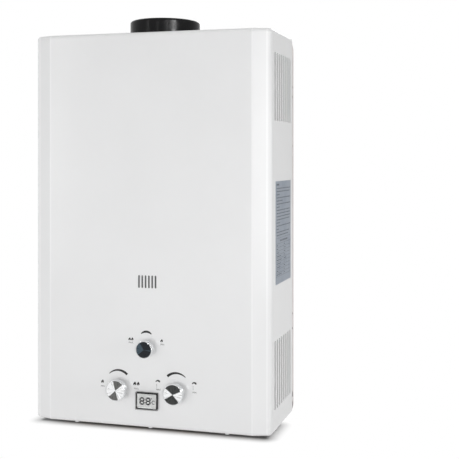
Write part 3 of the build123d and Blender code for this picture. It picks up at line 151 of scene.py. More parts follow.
# ---------------------------------------------------------------- shared finishes
GREY = (0.5, 0.5, 0.5, 1.0)
WHITE = (1.0, 1.0, 1.0, 1.0)
NOWHERE = (0.0, 0.0, 0.0)
SOCKET_KINDS = {1: "NodeSocketFloat", 3: "NodeSocketVector", 4: "NodeSocketColor"}
MAKERS = {}


def shared(name, **inputs):
    """Note down a shader node group by its name and its inputs' defaults; what follows is its maker."""

    def note(maker):
        MAKERS[name] = (maker, inputs)
        return maker

    return note


def build_group(name):
    """Build a shader node group with named sockets; its maker returns its results by name."""
    maker, inputs = MAKERS[name]
    group = bpy.data.node_groups.new(name, "ShaderNodeTree")
    for key, default in inputs.items():
        kind = SOCKET_KINDS[len(default) if isinstance(default, tuple) else 1]
        socket = group.interface.new_socket(name=key.replace("_", " "), in_out="INPUT", socket_type=kind)
        socket.default_value = default
    results = maker(group, node(group, "NodeGroupInput").outputs)
    for key in results:
        kind = SOCKET_KINDS[4 if key == "Colour" else 1]
        group.interface.new_socket(name=key, in_out="OUTPUT", socket_type=kind)
    node(group, "NodeGroupOutput", results)
    return group


def group_node(tree, name, values):
    """Place a shared group in a material with its own values, building the group once."""
    group = bpy.data.node_groups.get(name) or build_group(name)
    return node(tree, "ShaderNodeGroup", values, node_tree=group, label=name)


@shared("Powder Coat", Colour=GREY, Roughness=0.4, Mottle=0.02, Peel=650.0)
def powder_coat(tree, given):
    """Baked powder paint: orange peel, slight mottle and a few specks of dust."""
    spot = place(tree)
    dust_colour = (0.42, 0.40, 0.37)
    broad = remap(tree, noise(tree, spot, scale=9.0, detail=3.0), (0.3, 0.7), (-1.0, 1.0))
    painted = shaded(tree, given["Colour"], calc(tree, "MULTIPLY_ADD", broad, given["Mottle"], 1.0))
    dust = remap(tree, noise(tree, spot, scale=2600.0, detail=0.0), (0.83, 0.88), (0.0, 0.12))
    return {
        "Colour": mix_colour(tree, dust, painted, dust_colour),
        "Roughness": calc(tree, "MULTIPLY_ADD", broad, 0.03, given["Roughness"]),
        "Height": noise(tree, spot, scale=given["Peel"], detail=1.5),
    }


@shared("Spangle", Colour=GREY, Roughness=0.45, Contrast=0.2, Facets=140.0)
def spangle(tree, given):
    """Hot-dip zinc: large crystal facets of differing tone with a dull bloom over them."""
    spot = place(tree)
    bloom_colour = (0.60, 0.57, 0.55)
    drift = noise(tree, spot, scale=60.0)
    bent = vector_step(tree, "ADD", spot, drift)[0]
    cells = node(tree, "ShaderNodeTexVoronoi", {"Vector": bent, "Scale": given["Facets"]})
    tone = node(tree, "ShaderNodeSeparateColor", {"Color": cells.outputs["Color"]}).outputs[0]
    swing = calc(tree, "SUBTRACT", tone, 0.5)
    facets = shaded(tree, given["Colour"], calc(tree, "MULTIPLY_ADD", swing, given["Contrast"], 1.0))
    bloom = remap(tree, noise(tree, spot, scale=22.0, detail=4.0), (0.42, 0.68), (0.0, 0.35))
    return {
        "Colour": mix_colour(tree, bloom, facets, bloom_colour),
        "Roughness": calc(tree, "MULTIPLY_ADD", swing, 0.16, given["Roughness"]),
        "Height": calc(tree, "MULTIPLY_ADD", drift, 0.5, tone),
    }


@shared("Drawn Metal", Colour=GREY, Tarnish_Colour=GREY, Tarnish=0.3, Roughness=0.3, Stretch=(900.0, 900.0, 30.0))
def drawn_metal(tree, given):
    """Drawn or turned metal: fine streaks along one axis and darker handling marks."""
    spot = place(tree)
    streak = noise(tree, vector_step(tree, "MULTIPLY", spot, given["Stretch"])[0], 1.0, detail=3.0, roughness=0.6)
    marks = noise(tree, spot, scale=38.0, detail=4.0, roughness=0.6)
    dulled = calc(tree, "MULTIPLY", remap(tree, marks, (0.45, 0.7), (0.0, 1.0), True), given["Tarnish"])
    colour = mix_colour(tree, dulled, given["Colour"], given["Tarnish Colour"])
    rough = calc(tree, "MULTIPLY_ADD", dulled, 0.3, given["Roughness"])
    return {
        "Colour": shaded(tree, colour, remap(tree, streak, (0.25, 0.75), (0.93, 1.05))),
        "Roughness": calc(tree, "MULTIPLY_ADD", streak, 0.08, rough),
        "Height": streak,
    }


HEAT_BANDS = (
    # share of the way down to the flame, tint
    (0.35, (0.85, 0.48, 0.28, 1.0)),
    (0.55, (0.55, 0.22, 0.28, 1.0)),
    (0.72, (0.24, 0.25, 0.38, 1.0)),
)


@shared("Heat Tint", Colour=GREY, Flame_Height=0.0, Fade_Height=0.1, Strength=0.7)
def heat_tint(tree, given):
    """The browns and blues that heat leaves on metal above a flame, fading upwards."""
    spot = place(tree)
    ragged = calc(tree, "MULTIPLY_ADD", noise(tree, spot, scale=26.0, detail=4.0), 0.05, parts_of(tree, spot)[2])
    reach = remap(tree, ragged, (given["Flame Height"], given["Fade Height"]), (1.0, 0.0), True)
    bands = node(tree, "ShaderNodeValToRGB", {"Fac": reach})
    stops = bands.color_ramp.elements
    stops[0].color = (1.0, 0.93, 0.85, 1.0)
    stops[1].color = (0.16, 0.11, 0.09, 1.0)
    for position, tint in HEAT_BANDS:
        stops.new(position).color = tint
    tinted = mix_colour(tree, given["Strength"], WHITE, bands.outputs["Color"])
    return {"Colour": shaded(tree, given["Colour"], tinted)}


@shared("Cast Grain", Colour=GREY, Roughness=0.5, Grain=900.0, Specks=0.4)
def cast_grain(tree, given):
    """A sand or die casting: pebbled skin with dark specks in its hollows."""
    spot = place(tree)
    pebble = noise(tree, spot, scale=given["Grain"], detail=3.0, roughness=0.6)
    hollow = remap(tree, pebble, (0.32, 0.46), (1.0, 0.0))
    stain = remap(tree, noise(tree, spot, scale=34.0, detail=3.0), (0.4, 0.75), (0.0, 0.5))
    dark = calc(tree, "MAXIMUM", calc(tree, "MULTIPLY", hollow, given["Specks"]), stain)
    stained = shaded(tree, given["Colour"], (0.42, 0.40, 0.38))
    return {
        "Colour": mix_colour(tree, dark, given["Colour"], stained),
        "Roughness": calc(tree, "MULTIPLY_ADD", dark, 0.2, given["Roughness"]),
        "Height": pebble,
    }


@shared("Moulded Grain", Colour=GREY, Roughness=0.5, Grain=1500.0, Rubbing=0.1)
def moulded_grain(tree, given):
    """Injection-moulded plastic: spark-etched grain, rubbed smoother in places."""
    spot = place(tree)
    etch = noise(tree, spot, scale=given["Grain"])
    rubbed = remap(tree, noise(tree, spot, scale=48.0, detail=3.0), (0.4, 0.65), (0.0, 1.0), True)
    shine = calc(tree, "MULTIPLY", rubbed, given["Rubbing"])
    return {
        "Colour": shaded(tree, given["Colour"], calc(tree, "MULTIPLY_ADD", etch, 0.06, 0.97)),
        "Roughness": calc(tree, "SUBTRACT", given["Roughness"], shine),
        "Height": etch,
    }


@shared(
    "Spun Disc", Light=GREY, Dark=GREY, Centre=NOWHERE,
    First_Middle=0.0, First_Edge=0.5, Second_Middle=math.pi, Second_Edge=0.5,
)
def spun_disc(tree, given):
    """A disc spun about an axis along Y: fine rings, and two dark fans from the centre that are a painted reflection
    of such rings.
    """
    arm = vector_step(tree, "SUBTRACT", place(tree), given["Centre"])[0]
    across, _, up = parts_of(tree, arm)
    angle = calc(tree, "ARCTAN2", across, up)
    wobble = noise(tree, arm, scale=110.0, detail=3.0)
    swirl = calc(tree, "MULTIPLY_ADD", wobble, 0.24, calc(tree, "SUBTRACT", angle, 0.12))
    # The dark fans are a painted reflection, laid into the colour.
    fans = []
    for fan in ("First", "Second"):
        toward = calc(tree, "COSINE", calc(tree, "SUBTRACT", swirl, given[f"{fan} Middle"]))
        past = calc(tree, "SUBTRACT", toward, given[f"{fan} Edge"])
        fans.append(remap(tree, past, (-0.035, 0.05), (0.0, 1.0), True))
    painted_fans = mix_colour(tree, calc(tree, "MAXIMUM", *fans), given["Light"], given["Dark"])
    radius = vector_step(tree, "LENGTH", arm)["Value"]
    rings = calc(tree, "SINE", calc(tree, "MULTIPLY", radius, 9000.0))
    spokes = {0: calc(tree, "MULTIPLY", angle, 5.0), 1: calc(tree, "MULTIPLY", radius, 60.0)}
    spoke = node(tree, "ShaderNodeCombineXYZ", spokes).outputs[0]
    fine = noise(tree, spoke, scale=1.0, detail=4.0, roughness=0.65)
    shade = calc(tree, "MULTIPLY_ADD", rings, 0.02, remap(tree, fine, (0.3, 0.7), (0.80, 1.12)))
    roughness = remap(tree, fine, (0.2, 0.8), (0.20, 0.40))
    return {"Colour": shaded(tree, painted_fans, shade), "Roughness": roughness, "Height": rings}


@shared("Pressed Bead", Half_Width=0.1, Half_Height=0.1, Corner=0.02, Bead_Width=0.01)
def pressed_bead(tree, given):
    """The relief of a rounded rectangular bead pressed into sheet that faces along Y."""
    parts = parts_of(tree, place(tree))
    past = []
    for axis, half in ((0, "Half Width"), (2, "Half Height")):
        inner = calc(tree, "SUBTRACT", given[half], given["Corner"])
        past.append(calc(tree, "SUBTRACT", calc(tree, "ABSOLUTE", parts[axis]), inner))
    outside = diagonal(tree, *[calc(tree, "MAXIMUM", value, 0.0) for value in past])
    inside = calc(tree, "MINIMUM", calc(tree, "MAXIMUM", *past), 0.0)
    reach = calc(tree, "ADD", outside, inside)
    share = calc(tree, "DIVIDE", gap(tree, reach, given["Corner"]), given["Bead Width"])
    return {"Relief": remap(tree, share, (0.35, 1.0), (1.0, 0.0), True)}


@shared("Two Tone Frame", Dark=GREY, Pale=GREY, Corner=NOWHERE, Width=0.002)
def painted_light_frame(tree, given):
    """A frame facing -Y with painted light: pale along its left and lower sides as if lit there, dark along the
    others.
    """
    across, _, up = parts_of(tree, vector_step(tree, "SUBTRACT", place(tree), given["Corner"])[0])
    mask = calc(tree, "LESS_THAN", calc(tree, "MINIMUM", across, up), given["Width"])
    return {"Colour": mix_colour(tree, mask, given["Dark"], given["Pale"])}


@shared("Fold Line", Coat=GREY, Line=GREY, Inner_Fold=0.17, Outer_Fold=0.20, Half_Width=0.002, Rear_End=0.0)
def painted_fold_highlight(tree, given):
    """A painted highlight: bright hairlines laid into the coat's colour where the sheet folds, on both sides of the
    front.
    """
    across, along, _ = parts_of(tree, place(tree))
    aside = calc(tree, "ABSOLUTE", across)
    gaps = [gap(tree, aside, given[fold]) for fold in ("Inner Fold", "Outer Fold")]
    line = remap(tree, calc(tree, "MINIMUM", *gaps), (given["Half Width"], 0.0), (0.0, 1.0), True)
    mask = calc(tree, "MULTIPLY", line, calc(tree, "LESS_THAN", along, given["Rear End"]))
    return {"Colour": mix_colour(tree, mask, given["Coat"], given["Line"])}


# ---------------------------------------------------------------- materials
def new_material(name, **constants):
    """A material whose plain values sit on the shader's own sockets."""
    material = bpy.data.materials.new(name)
    material.use_nodes = True
    shader = material.node_tree.nodes["Principled BSDF"]
    for key, value in constants.items():
        give(shader, key.replace("_", " "), value)
    return material, shader


def finished(name, group, bump, heat=None, pattern=None, **values):
    """A material from one shared finish, with its bump's strength and depth.

    A value that the finish doesn't take sits on the shader's own socket. Heat holds the values of the heat
    tint, and a pattern is a group with its values that gives the finish its colour.
    """
    material, shader = new_material(name)
    tree = material.node_tree
    placed = group_node(tree, group, {})
    for key, value in values.items():
        socket = key.replace("_", " ")
        give(placed if socket in placed.inputs else shader, socket, value)
    if pattern:
        give(placed, "Colour", group_node(tree, *pattern).outputs["Colour"])
    colour = placed.outputs["Colour"]
    if heat:
        colour = group_node(tree, "Heat Tint", {"Colour": colour, **heat}).outputs["Colour"]
    give(shader, "Base Color", colour)
    give(shader, "Roughness", placed.outputs["Roughness"])
    strength, depth = bump
    relief = {"Height": placed.outputs["Height"], "Strength": strength, "Distance": depth}
    give(shader, "Normal", node(tree, "ShaderNodeBump", relief).outputs["Normal"])
    return material


def clad(material, *names):
    """Give a material to CAD pieces by name."""
    for name in names:
        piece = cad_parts[name]
        if not piece.material_slots:
            piece.data.materials.append(material)
        for holder in piece.material_slots:
            holder.material = material


def printing_ink(name, colour):
    """Pad-printed ink: flat, slightly uneven in cover."""
    return finished(
        name, "Moulded Grain", (0.1, 0.00002), Colour=colour, Roughness=0.55, Grain=2200.0, Rubbing=0.08
    )


# ---------------------------------------------------------------- meshes
def add_piece(name, vertices, faces, material, body="casing"):
    """A mesh piece that rides on a body and takes its finish from a slot."""
    mesh = bpy.data.meshes.new(name)
    mesh.from_pydata(vertices, [], faces)
    mesh.update()
    mesh.materials.append(material)
    piece = bpy.data.objects.new(name, mesh)
    bpy.context.scene.collection.objects.link(piece)
    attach(piece, body)
    return piece


def mesh_of(curve):
    """The corners and faces of a curve's mesh; the curve is thrown away."""
    holder = bpy.data.objects.new(curve.name, curve)
    bpy.context.scene.collection.objects.link(holder)
    bpy.context.view_layer.update()
    mesh = bpy.data.meshes.new_from_object(holder.evaluated_get(bpy.context.evaluated_depsgraph_get()))
    corners = [tuple(corner.co) for corner in mesh.vertices]
    faces = [tuple(face.vertices) for face in mesh.polygons]
    bpy.data.objects.remove(holder)
    bpy.data.curves.remove(curve)
    bpy.data.meshes.remove(mesh)
    return corners, faces


class Print:
    """Gathers flat printed shapes, as outlines across and up, for one mesh."""

    def __init__(self):
        self.points = []
        self.faces = []

    def shape(self, outline):
        """A closed outline, counter-clockwise as seen by the reader."""
        start = len(self.points)
        self.points.extend(outline)
        self.faces.append(tuple(range(start, start + len(outline))))

    def band(self, outer, inner, closed=False):
        """The strip between two lines with the same number of points."""
        start = len(self.points)
        count = len(outer)
        self.points.extend([*outer, *inner])
        for index in range(count if closed else count - 1):
            after = (index + 1) % count
            self.faces.append((start + index, start + count + index, start + count + after, start + after))

    def bar(self, left, right, bottom, top):
        """An upright rectangle."""
        self.shape([(left, bottom), (right, bottom), (right, top), (left, top)])

    def onto_front(self, name, y, material, slot):
        """Lay the shapes on a plane that faces -Y."""
        vertices = [(across, y, up) for across, up in self.points]
        add_piece(name, vertices, self.faces, material)

    def onto_right(self, name, x, material):
        """Lay the shapes on a plane that faces +X, with across along +Y."""
        vertices = [(x, across, up) for across, up in self.points]
        add_piece(name, vertices, self.faces, material)


def tapered_arc(centre, radius, start, end, widths, steps=24):
    """The two edges of an arc, clockwise from upright, with its widths at the start, middle and end."""
    first, middle, last = widths
    outer = []
    inner = []
    for step in range(steps + 1):
        share = step / steps
        angle = start + (end - start) * share
        ends = (1 - share) * (1 - 2 * share) * first + share * (2 * share - 1) * last
        half = (ends + 4 * share * (1 - share) * middle) / 2
        for edge, reach in ((outer, radius + half), (inner, radius - half)):
            edge.append((centre[0] + reach * math.sin(angle), centre[1] + reach * math.cos(angle)))
    return outer, inner


def flame_outline(x, z, width, height, steps=28):
    """A teardrop flame whose tip leans to the right; x is its middle and z its foot."""
    belly, lean = 0.62, 0.22
    left = []
    right = []
    for step in range(steps + 1):
        rise = step / steps
        half = width / 2 * math.sin(math.pi * rise**belly)
        middle = x + width * lean * rise**2
        right.append((middle + half, z + height * rise))
        left.append((middle - half, z + height * rise))
    return right + left[-2:0:-1]


def disc_outline(x, z, radius, steps=20):
    """A filled dot."""
    turns = [2 * math.pi * step / steps for step in range(steps)]
    return [(x + radius * math.cos(turn), z + radius * math.sin(turn)) for turn in turns]


def lettering(name, words, at, height, material):
    """A short generic word laid flat on the front, about its middle."""
    capital_share = 0.7
    curve = bpy.data.curves.new(name, "FONT")
    curve.body = words
    curve.size = height / capital_share
    curve.align_x = "CENTER"
    curve.align_y = "CENTER"
    curve.resolution_u = 3
    corners, faces = mesh_of(curve)
    vertices = [(at[0] + across, at[1], at[2] + up) for across, up, _ in corners]
    add_piece(name, vertices, faces, material)


# ---------------------------------------------------------------- settings
def colour_property(label, text, default):
    """A colour that a user may change."""
    return FloatVectorProperty(
        name=label, description=text, default=default, subtype="COLOR", size=3, min=0.0, max=1.0
    )


def length_property(label, text, default):
    """A length in metres that a user may change."""
    return FloatProperty(name=label, description=text, default=default, unit="LENGTH", precision=5)


def angle_property(label, text, default):
    """An angle that a user may change."""
    return FloatProperty(name=label, description=text, default=math.radians(default), subtype="ANGLE")


def number_property(label, text, default):
    """A plain number that a user may change."""
    return FloatProperty(name=label, description=text, default=default)


class HeaterFinish(bpy.types.PropertyGroup):
    """Colours of the heater's coats and metals, and the sizes that go with them"""

    white_coat: colour_property("White coat", "Powder coat of the front cover", (0.86, 0.862, 0.865))
    # The colour on the folds is a painted highlight: a paler colour laid along the folds.
    fold_painted_highlight: colour_property("Painted highlight on folds", "Painted highlight where the front cover is folded", (0.925, 0.927, 0.930))
    fold_inner: length_property("Inner fold", "Middle of the cover to the fold beside the front panel", 0.1735)
    fold_outer: length_property("Outer fold", "Middle of the cover to the fold beside the side panel", 0.1960)
    fold_half_width: length_property("Fold half width", "Half the width of the bright line on a fold", 0.0022)
    fold_depth: length_property("Fold depth", "How far back from the front panel the folds reach", 0.0120)
    zinc_sheet: colour_property("Zinc sheet", "Galvanised back plate, shelf and brackets", (0.70, 0.655, 0.645))
    bright_steel: colour_property("Bright steel", "Screws, spindles and push rod", (0.62, 0.62, 0.63))
    black_enamel: colour_property("Black enamel", "Flue collar", (0.007, 0.007, 0.0075))
    black_rubber: colour_property("Black rubber", "Flue gasket and diaphragm", (0.02, 0.02, 0.02))
    sooty_steel: colour_property("Sooty steel", "Flue hood and its posts", (0.035, 0.033, 0.032))
    copper: colour_property("Copper", "Heat exchanger, coil and pipes", (0.76, 0.33, 0.19))
    dull_copper: colour_property("Dull copper", "Tarnish on the copper", (0.20, 0.09, 0.06))
    brass: colour_property("Brass", "Water fittings", (0.72, 0.50, 0.22))
    dull_brass: colour_property("Dull brass", "Tarnish on the brass", (0.27, 0.17, 0.08))
    die_cast: colour_property("Die casting", "Gas valve, season valve and manifold", (0.55, 0.55, 0.56))
    burner_steel: colour_property("Burner steel", "Stainless burner bars", (0.48, 0.47, 0.46))
    ceramic: colour_property("Ceramic", "Electrode insulators", (0.80, 0.78, 0.72))
    black_plastic: colour_property("Black plastic", "Controller, solenoid and switch", (0.025, 0.025, 0.028))
    pale_plastic: colour_property("Pale plastic", "Battery box and its lid", (0.78, 0.78, 0.775))
    knob_plate: colour_property("Knob plating", "Plated bodies of the three knobs", (0.74, 0.75, 0.76))
    # The fan colours are a painted reflection on the spun faces: bright and dark fans.
    disc_painted_light: colour_property("Disc light fan", "Bright fans of the spun knob faces", (0.88, 0.885, 0.89))
    disc_painted_dark: colour_property("Disc dark fan", "Dark fans of the spun knob faces", (0.045, 0.047, 0.046))
    gas_disc_painted_dark: colour_property("Gas disc dark fan", "Dark fans of the gas knob", (0.13, 0.13, 0.125))
    season_painted_light: colour_property("Season disc light fan", "Pale fans of the season knob", (0.048, 0.072, 0.092))
    season_painted_dark: colour_property("Season disc dark fan", "Dark fans of the season knob", (0.012, 0.015, 0.019))
    label_foil: colour_property("Label foil", "Rating plate", (0.33, 0.37, 0.43))
    print_ink: colour_property("Print ink", "Arcs and pictograms on the front", (0.006, 0.006, 0.006))
    word_ink: colour_property("Word ink", "Small words on the front", (0.04, 0.04, 0.04))
    label_ink: colour_property("Label ink", "Ruling and line fill of the rating plate", (0.11, 0.125, 0.15))
    display_panel: colour_property("Display panel", "Reflective panel behind the digits", (0.80, 0.81, 0.80))
    display_frame: colour_property("Display frame", "Moulded frame of the display", (0.018, 0.018, 0.019))
    # Painted light: the frame's left and lower sides are given a pale colour as if lit.
    display_painted_light: colour_property("Display painted light", "Pale left and lower sides of the frame", (0.36, 0.36, 0.36))
    wire_red: colour_property("Red wire", "Live wires of the harness", (0.42, 0.03, 0.025))
    wire_teal: colour_property("Teal wire", "Return wire of the cells", (0.03, 0.24, 0.27))
    wire_black: colour_property("Black wire", "Wires of the solenoid and thermostat", (0.02, 0.02, 0.02))
    wire_pale: colour_property("Pale wire", "Wires of the display and the temperature probe", (0.55, 0.54, 0.50))
    wire_radius: length_property("Wire radius", "Outer radius of the harness wires", 0.0010)
    mica: colour_property("Mica", "Window behind the vents", (0.12, 0.12, 0.12))


class HeaterPrint(bpy.types.PropertyGroup):
    """Sizes of the printed marks"""

    lift: length_property("Ink lift", "How far ink stands off its surface", 0.00006)
    flame_height: length_property("Flame height", "Height of a printed flame", 0.0056)
    flame_width: length_property("Flame width", "Width of a printed flame", 0.0046)
    tap_width: length_property("Tap width", "Width of a printed tap", 0.0080)
    word_height: length_property("Word height", "Height of the small words", 0.0026)
    digit_height: length_property("Digit height", "Height of the display's digits", 0.0098)
    digit_width: length_property("Digit width", "Width of the display's digits", 0.0066)
    segment_width: length_property("Segment width", "Width of a digit's segments", 0.0024)
    frame_painted_light_width: length_property("Frame painted light width", "Width of the pale sides of the display's frame", 0.0028)
    rule_width: length_property("Rule width", "Width of the rating plate's rules", 0.00045)
    text_height: length_property("Line height", "Height of the rating plate's line fill", 0.0022)


class HeaterStudio(bpy.types.PropertyGroup):
    """Camera, lights and floor"""

    camera_place: FloatVectorProperty(
        name="Camera place", description="Where the camera stands", default=(0.560, -1.478, 0.1145), unit="LENGTH"
    )
    camera_turn: angle_property("Camera turn", "How far the camera looks to the left of +Y", 15.07)
    camera_lens: number_property("Lens", "Focal length in millimetres", 69.64)
    camera_shift_x: number_property("Shift X", "Sideways shift of the frame", -0.0904)
    camera_shift_y: number_property("Shift Y", "Upward shift of the frame", -0.1553)
    floor_colour: colour_property("Floor", "Pale studio floor", (0.82, 0.82, 0.82))
    # Painted shadow: the floor's colour right under the case.
    painted_shadow_colour: colour_property("Painted shadow", "Floor right under the case", (0.24, 0.24, 0.24))
    room_level: number_property("Room level", "Strength of the even room light", 0.33)
    key_power: number_property("Key power", "Tall soft light beside the camera", 9.9)
    front_power: number_property("Front power", "Narrow light in front", 2.2)
    left_power: number_property("Left power", "Narrow light at the front left", 3.6)
    low_power: number_property("Low power", "Low soft light in front", 2.1)
    collar_power: number_property("Collar power", "Strip that shows in the collar's gloss", 26.0)
    side_power: number_property("Side power", "Soft light at the right", 5.0)
    far_side_power: number_property("Far side power", "Soft light at the left", 11.0)
    top_power: number_property("Top power", "Soft light overhead", 9.0)
    rear_power: number_property("Rear power", "Broad light behind the heater", 16.0)
    shadow_fade: length_property("Shadow fade", "Width over which the floor shadow fades", 0.030)
    floor_gap: length_property("Floor gap", "Hair's breadth between the lowest piece and the floor", 0.0003)
    painted_shadow_fade: length_property("Contact fade", "Width over which the floor pales beside the case", 0.012)
    shadow_inset: length_property("Shadow inset", "How far inside the right and rear the shadow fades", 0.026)
    shadow_setback: length_property("Shadow setback", "How far behind the case's front it starts to fade", 0.060)


# ---------------------------------------------------------------- stage
class HEATER_OT_place_camera(bpy.types.Operator):
    """Stand the camera in front of the heater, to its right"""

    bl_idname = "heater.place_camera"
    bl_label = "Place camera"

    def execute(self, context):
        studio = context.scene.heater_studio
        lens = bpy.data.cameras.new("studio_camera")
        lens.sensor_width = 36.0
        lens.lens = studio.camera_lens
        lens.shift_x = studio.camera_shift_x
        lens.shift_y = studio.camera_shift_y
        camera = bpy.data.objects.new("studio_camera", lens)
        camera.location = studio.camera_place
        camera.rotation_euler = (math.pi / 2, 0.0, studio.camera_turn)
        context.scene.collection.objects.link(camera)
        context.scene.camera = camera
        return {"FINISHED"}


SOFT_LIGHTS = (
    # name, place, aim (none is the heater's middle), width and height, setting of its power, shows in gloss
    ("key_light", (0.95, -2.00, 0.17), None, (0.25, 1.0), "key_power", True),
    ("front_strip", (-0.10, -2.20, 0.17), None, (0.06, 1.0), "front_power", True),
    ("left_strip", (-1.30, -1.85, 0.17), None, (0.10, 1.0), "left_power", True),
    ("low_light", (-0.30, -1.50, -0.24), (-0.05, -0.16, -0.27), (0.7, 0.12), "low_power", False),
    ("collar_strip", (1.45, -1.38, 0.61), (0.0, -0.08, 0.33), (0.38, 0.5), "collar_power", True),
    ("side_light", (1.65, -0.47, 0.0), None, (0.3, 0.6), "side_power", True),
    ("rear_light", (-0.60, 2.30, 0.4), None, (1.1, 1.6), "rear_power", True),
    ("far_side_light", (-2.20, 0.10, 0.3), None, (0.8, 1.0), "far_side_power", False),
    ("top_light", (0.0, -0.08, 2.4), None, (1.0, 0.6), "top_power", False),
)


def soft_light(name, place_at, aim, size, power, mirrored):
    """A soft area light of a width and a height, aimed at a point, that may be kept out of gloss."""
    lamp = bpy.data.lights.new(name, "AREA")
    lamp.shape = "RECTANGLE"
    lamp.size, lamp.size_y = size
    lamp.energy = power
    holder = bpy.data.objects.new(name, lamp)
    holder.location = place_at
    holder.visible_camera = False
    holder.visible_glossy = mirrored
    holder.rotation_mode = "QUATERNION"
    holder.rotation_quaternion = (Vector(aim) - Vector(place_at)).to_track_quat("-Z", "Y")
    bpy.context.scene.collection.objects.link(holder)
    return holder


def keep_to_gloss(light, name):
    """Let a light show in the gloss of one piece alone, and light nothing."""
    light.visible_diffuse = False
    reach = bpy.data.collections.new(f"{light.name}_reach")
    reach.objects.link(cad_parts[name])
    light.light_linking.receiver_collection = reach


def light_world(level):
    """An even room, seen as plain white by the camera and in gloss and glass."""
    gloss_share = 0.8
    world = bpy.data.worlds.new("studio_room")
    world.use_nodes = True
    bpy.context.scene.world = world
    tree = world.node_tree
    tree.nodes.clear()
    ray = node(tree, "ShaderNodeLightPath").outputs
    seen = calc(tree, "MAXIMUM", ray["Is Camera Ray"], ray["Is Transmission Ray"])
    shown = calc(tree, "MAXIMUM", seen, calc(tree, "MULTIPLY", ray["Is Glossy Ray"], gloss_share))
    room = node(tree, "ShaderNodeBackground", {"Color": WHITE, "Strength": level})
    white = node(tree, "ShaderNodeBackground", {"Color": WHITE, "Strength": 1.0})
    mixed = node(tree, "ShaderNodeMixShader", {0: shown, 1: room.outputs[0], 2: white.outputs[0]})
    node(tree, "ShaderNodeOutputWorld", {"Surface": mixed.outputs[0]})


def reach_past(tree, spot, edges):
    """How far a floor point lies outside an upright box, given its edges across and along."""
    past = []
    for value, (low, high) in zip(spot[:2], edges):
        away = gap(tree, value, (low + high) / 2)
        past.append(calc(tree, "MAXIMUM", calc(tree, "SUBTRACT", away, (high - low) / 2), 0.0))
    return diagonal(tree, *past)


def floor_material(studio):
    """Pale floor that keeps the shadow under the case, with a painted shadow that darkens it right under the case,
    is plain white beyond it and is clear from below.
    """
    material = bpy.data.materials.new("studio_floor")
    material.use_nodes = True
    tree = material.node_tree
    tree.nodes.clear()
    surface = node(tree, "ShaderNodeNewGeometry").outputs
    inset = studio.shadow_inset
    across = (cover_low.x - inset / 2, cover_high.x - inset)
    along = (cover_low.y + studio.shadow_setback, cad_high.y - inset)
    past = reach_past(tree, parts_of(tree, surface["Position"]), (across, along))
    clear = remap(tree, past, (0.0, studio.shadow_fade), (0.0, 1.0), True)
    # Painted shadow: the floor darkens right under the case.
    painted_shadow = remap(tree, past, (0.0, studio.painted_shadow_fade), (1.0, 0.0), True)
    tone = mix_colour(tree, painted_shadow, (*studio.floor_colour, 1.0), (*studio.painted_shadow_colour, 1.0))
    ray = node(tree, "ShaderNodeLightPath").outputs
    mirrored = calc(tree, "MAXIMUM", ray["Is Glossy Ray"], ray["Is Transmission Ray"])
    shown = calc(tree, "MAXIMUM", ray["Is Camera Ray"], mirrored)
    matt = node(tree, "ShaderNodeBsdfDiffuse", {"Color": tone})
    white = node(tree, "ShaderNodeEmission", {"Color": WHITE, "Strength": 1.0})
    seen = calc(tree, "MULTIPLY", clear, shown)
    lit = node(tree, "ShaderNodeMixShader", {0: seen, 1: matt.outputs[0], 2: white.outputs[0]})
    nothing = node(tree, "ShaderNodeBsdfTransparent")
    below = calc(tree, "MULTIPLY", surface["Backfacing"], ray["Is Camera Ray"])
    mixed = node(tree, "ShaderNodeMixShader", {0: below, 1: lit.outputs[0], 2: nothing.outputs[0]})
    node(tree, "ShaderNodeOutputMaterial", {"Surface": mixed.outputs[0]})
    return material


class HEATER_OT_set_studio(bpy.types.Operator):
    """Lay the pale floor and hang the soft lights"""

    bl_idname = "heater.set_studio"
    bl_label = "Set studio"

    def execute(self, context):
        studio = context.scene.heater_studio
        context.scene.view_settings.view_transform = "Standard"
        light_world(studio.room_level)
        reach = 6.0
        height = cad_low.z - studio.floor_gap
        corners = [(x, y, height) for x, y in ((-reach, -reach), (reach, -reach), (reach, reach), (-reach, reach))]
        mesh = bpy.data.meshes.new("studio_floor")
        mesh.from_pydata(corners, [], [(0, 1, 2, 3)])
        mesh.materials.append(floor_material(studio))
        floor = bpy.data.objects.new("studio_floor", mesh)
        context.scene.collection.objects.link(floor)
        middle = (0.0, (cad_low.y + cad_high.y) / 2, 0.0)
        lights = {}
        for name, place_at, aim, size, setting, mirrored in SOFT_LIGHTS:
            lights[name] = soft_light(name, place_at, aim or middle, size, getattr(studio, setting), mirrored)
        keep_to_gloss(lights["collar_strip"], "flue_collar")
        return {"FINISHED"}


# ---------------------------------------------------------------- casing
class HEATER_OT_coat_cover(bpy.types.Operator):
    """Powder coat the front cover, with a painted highlight along its folds"""

    bl_idname = "heater.coat_cover"
    bl_label = "Coat cover"

    def execute(self, context):
        finish = context.scene.heater_finish
        # Painted highlight: a paler colour along the fold lines near the front.
        folds = {
            "Coat": finish.white_coat,
            "Line": finish.fold_painted_highlight,
            "Inner Fold": finish.fold_inner,
            "Outer Fold": finish.fold_outer,
            "Half Width": finish.fold_half_width,
            "Rear End": front_face + finish.fold_depth,
        }
        coat = finished(
            "white_powder_coat", "Powder Coat", (0.08, 0.00003), pattern=("Fold Line", folds),
            Colour=finish.white_coat, Roughness=0.20, Mottle=0.008, Peel=650.0,
        )
        clad(coat, "front_cover")
        return {"FINISHED"}


PRESSED_BEADS = (
    # distance from the sheet's edges, corner radius
    (0.034, 0.030),
    (0.092, 0.024),
)
BEAD_WIDTH = 0.007
ZINC_SHARE = 0.03  # how much of the zinc's own relief stays beside that of the beads


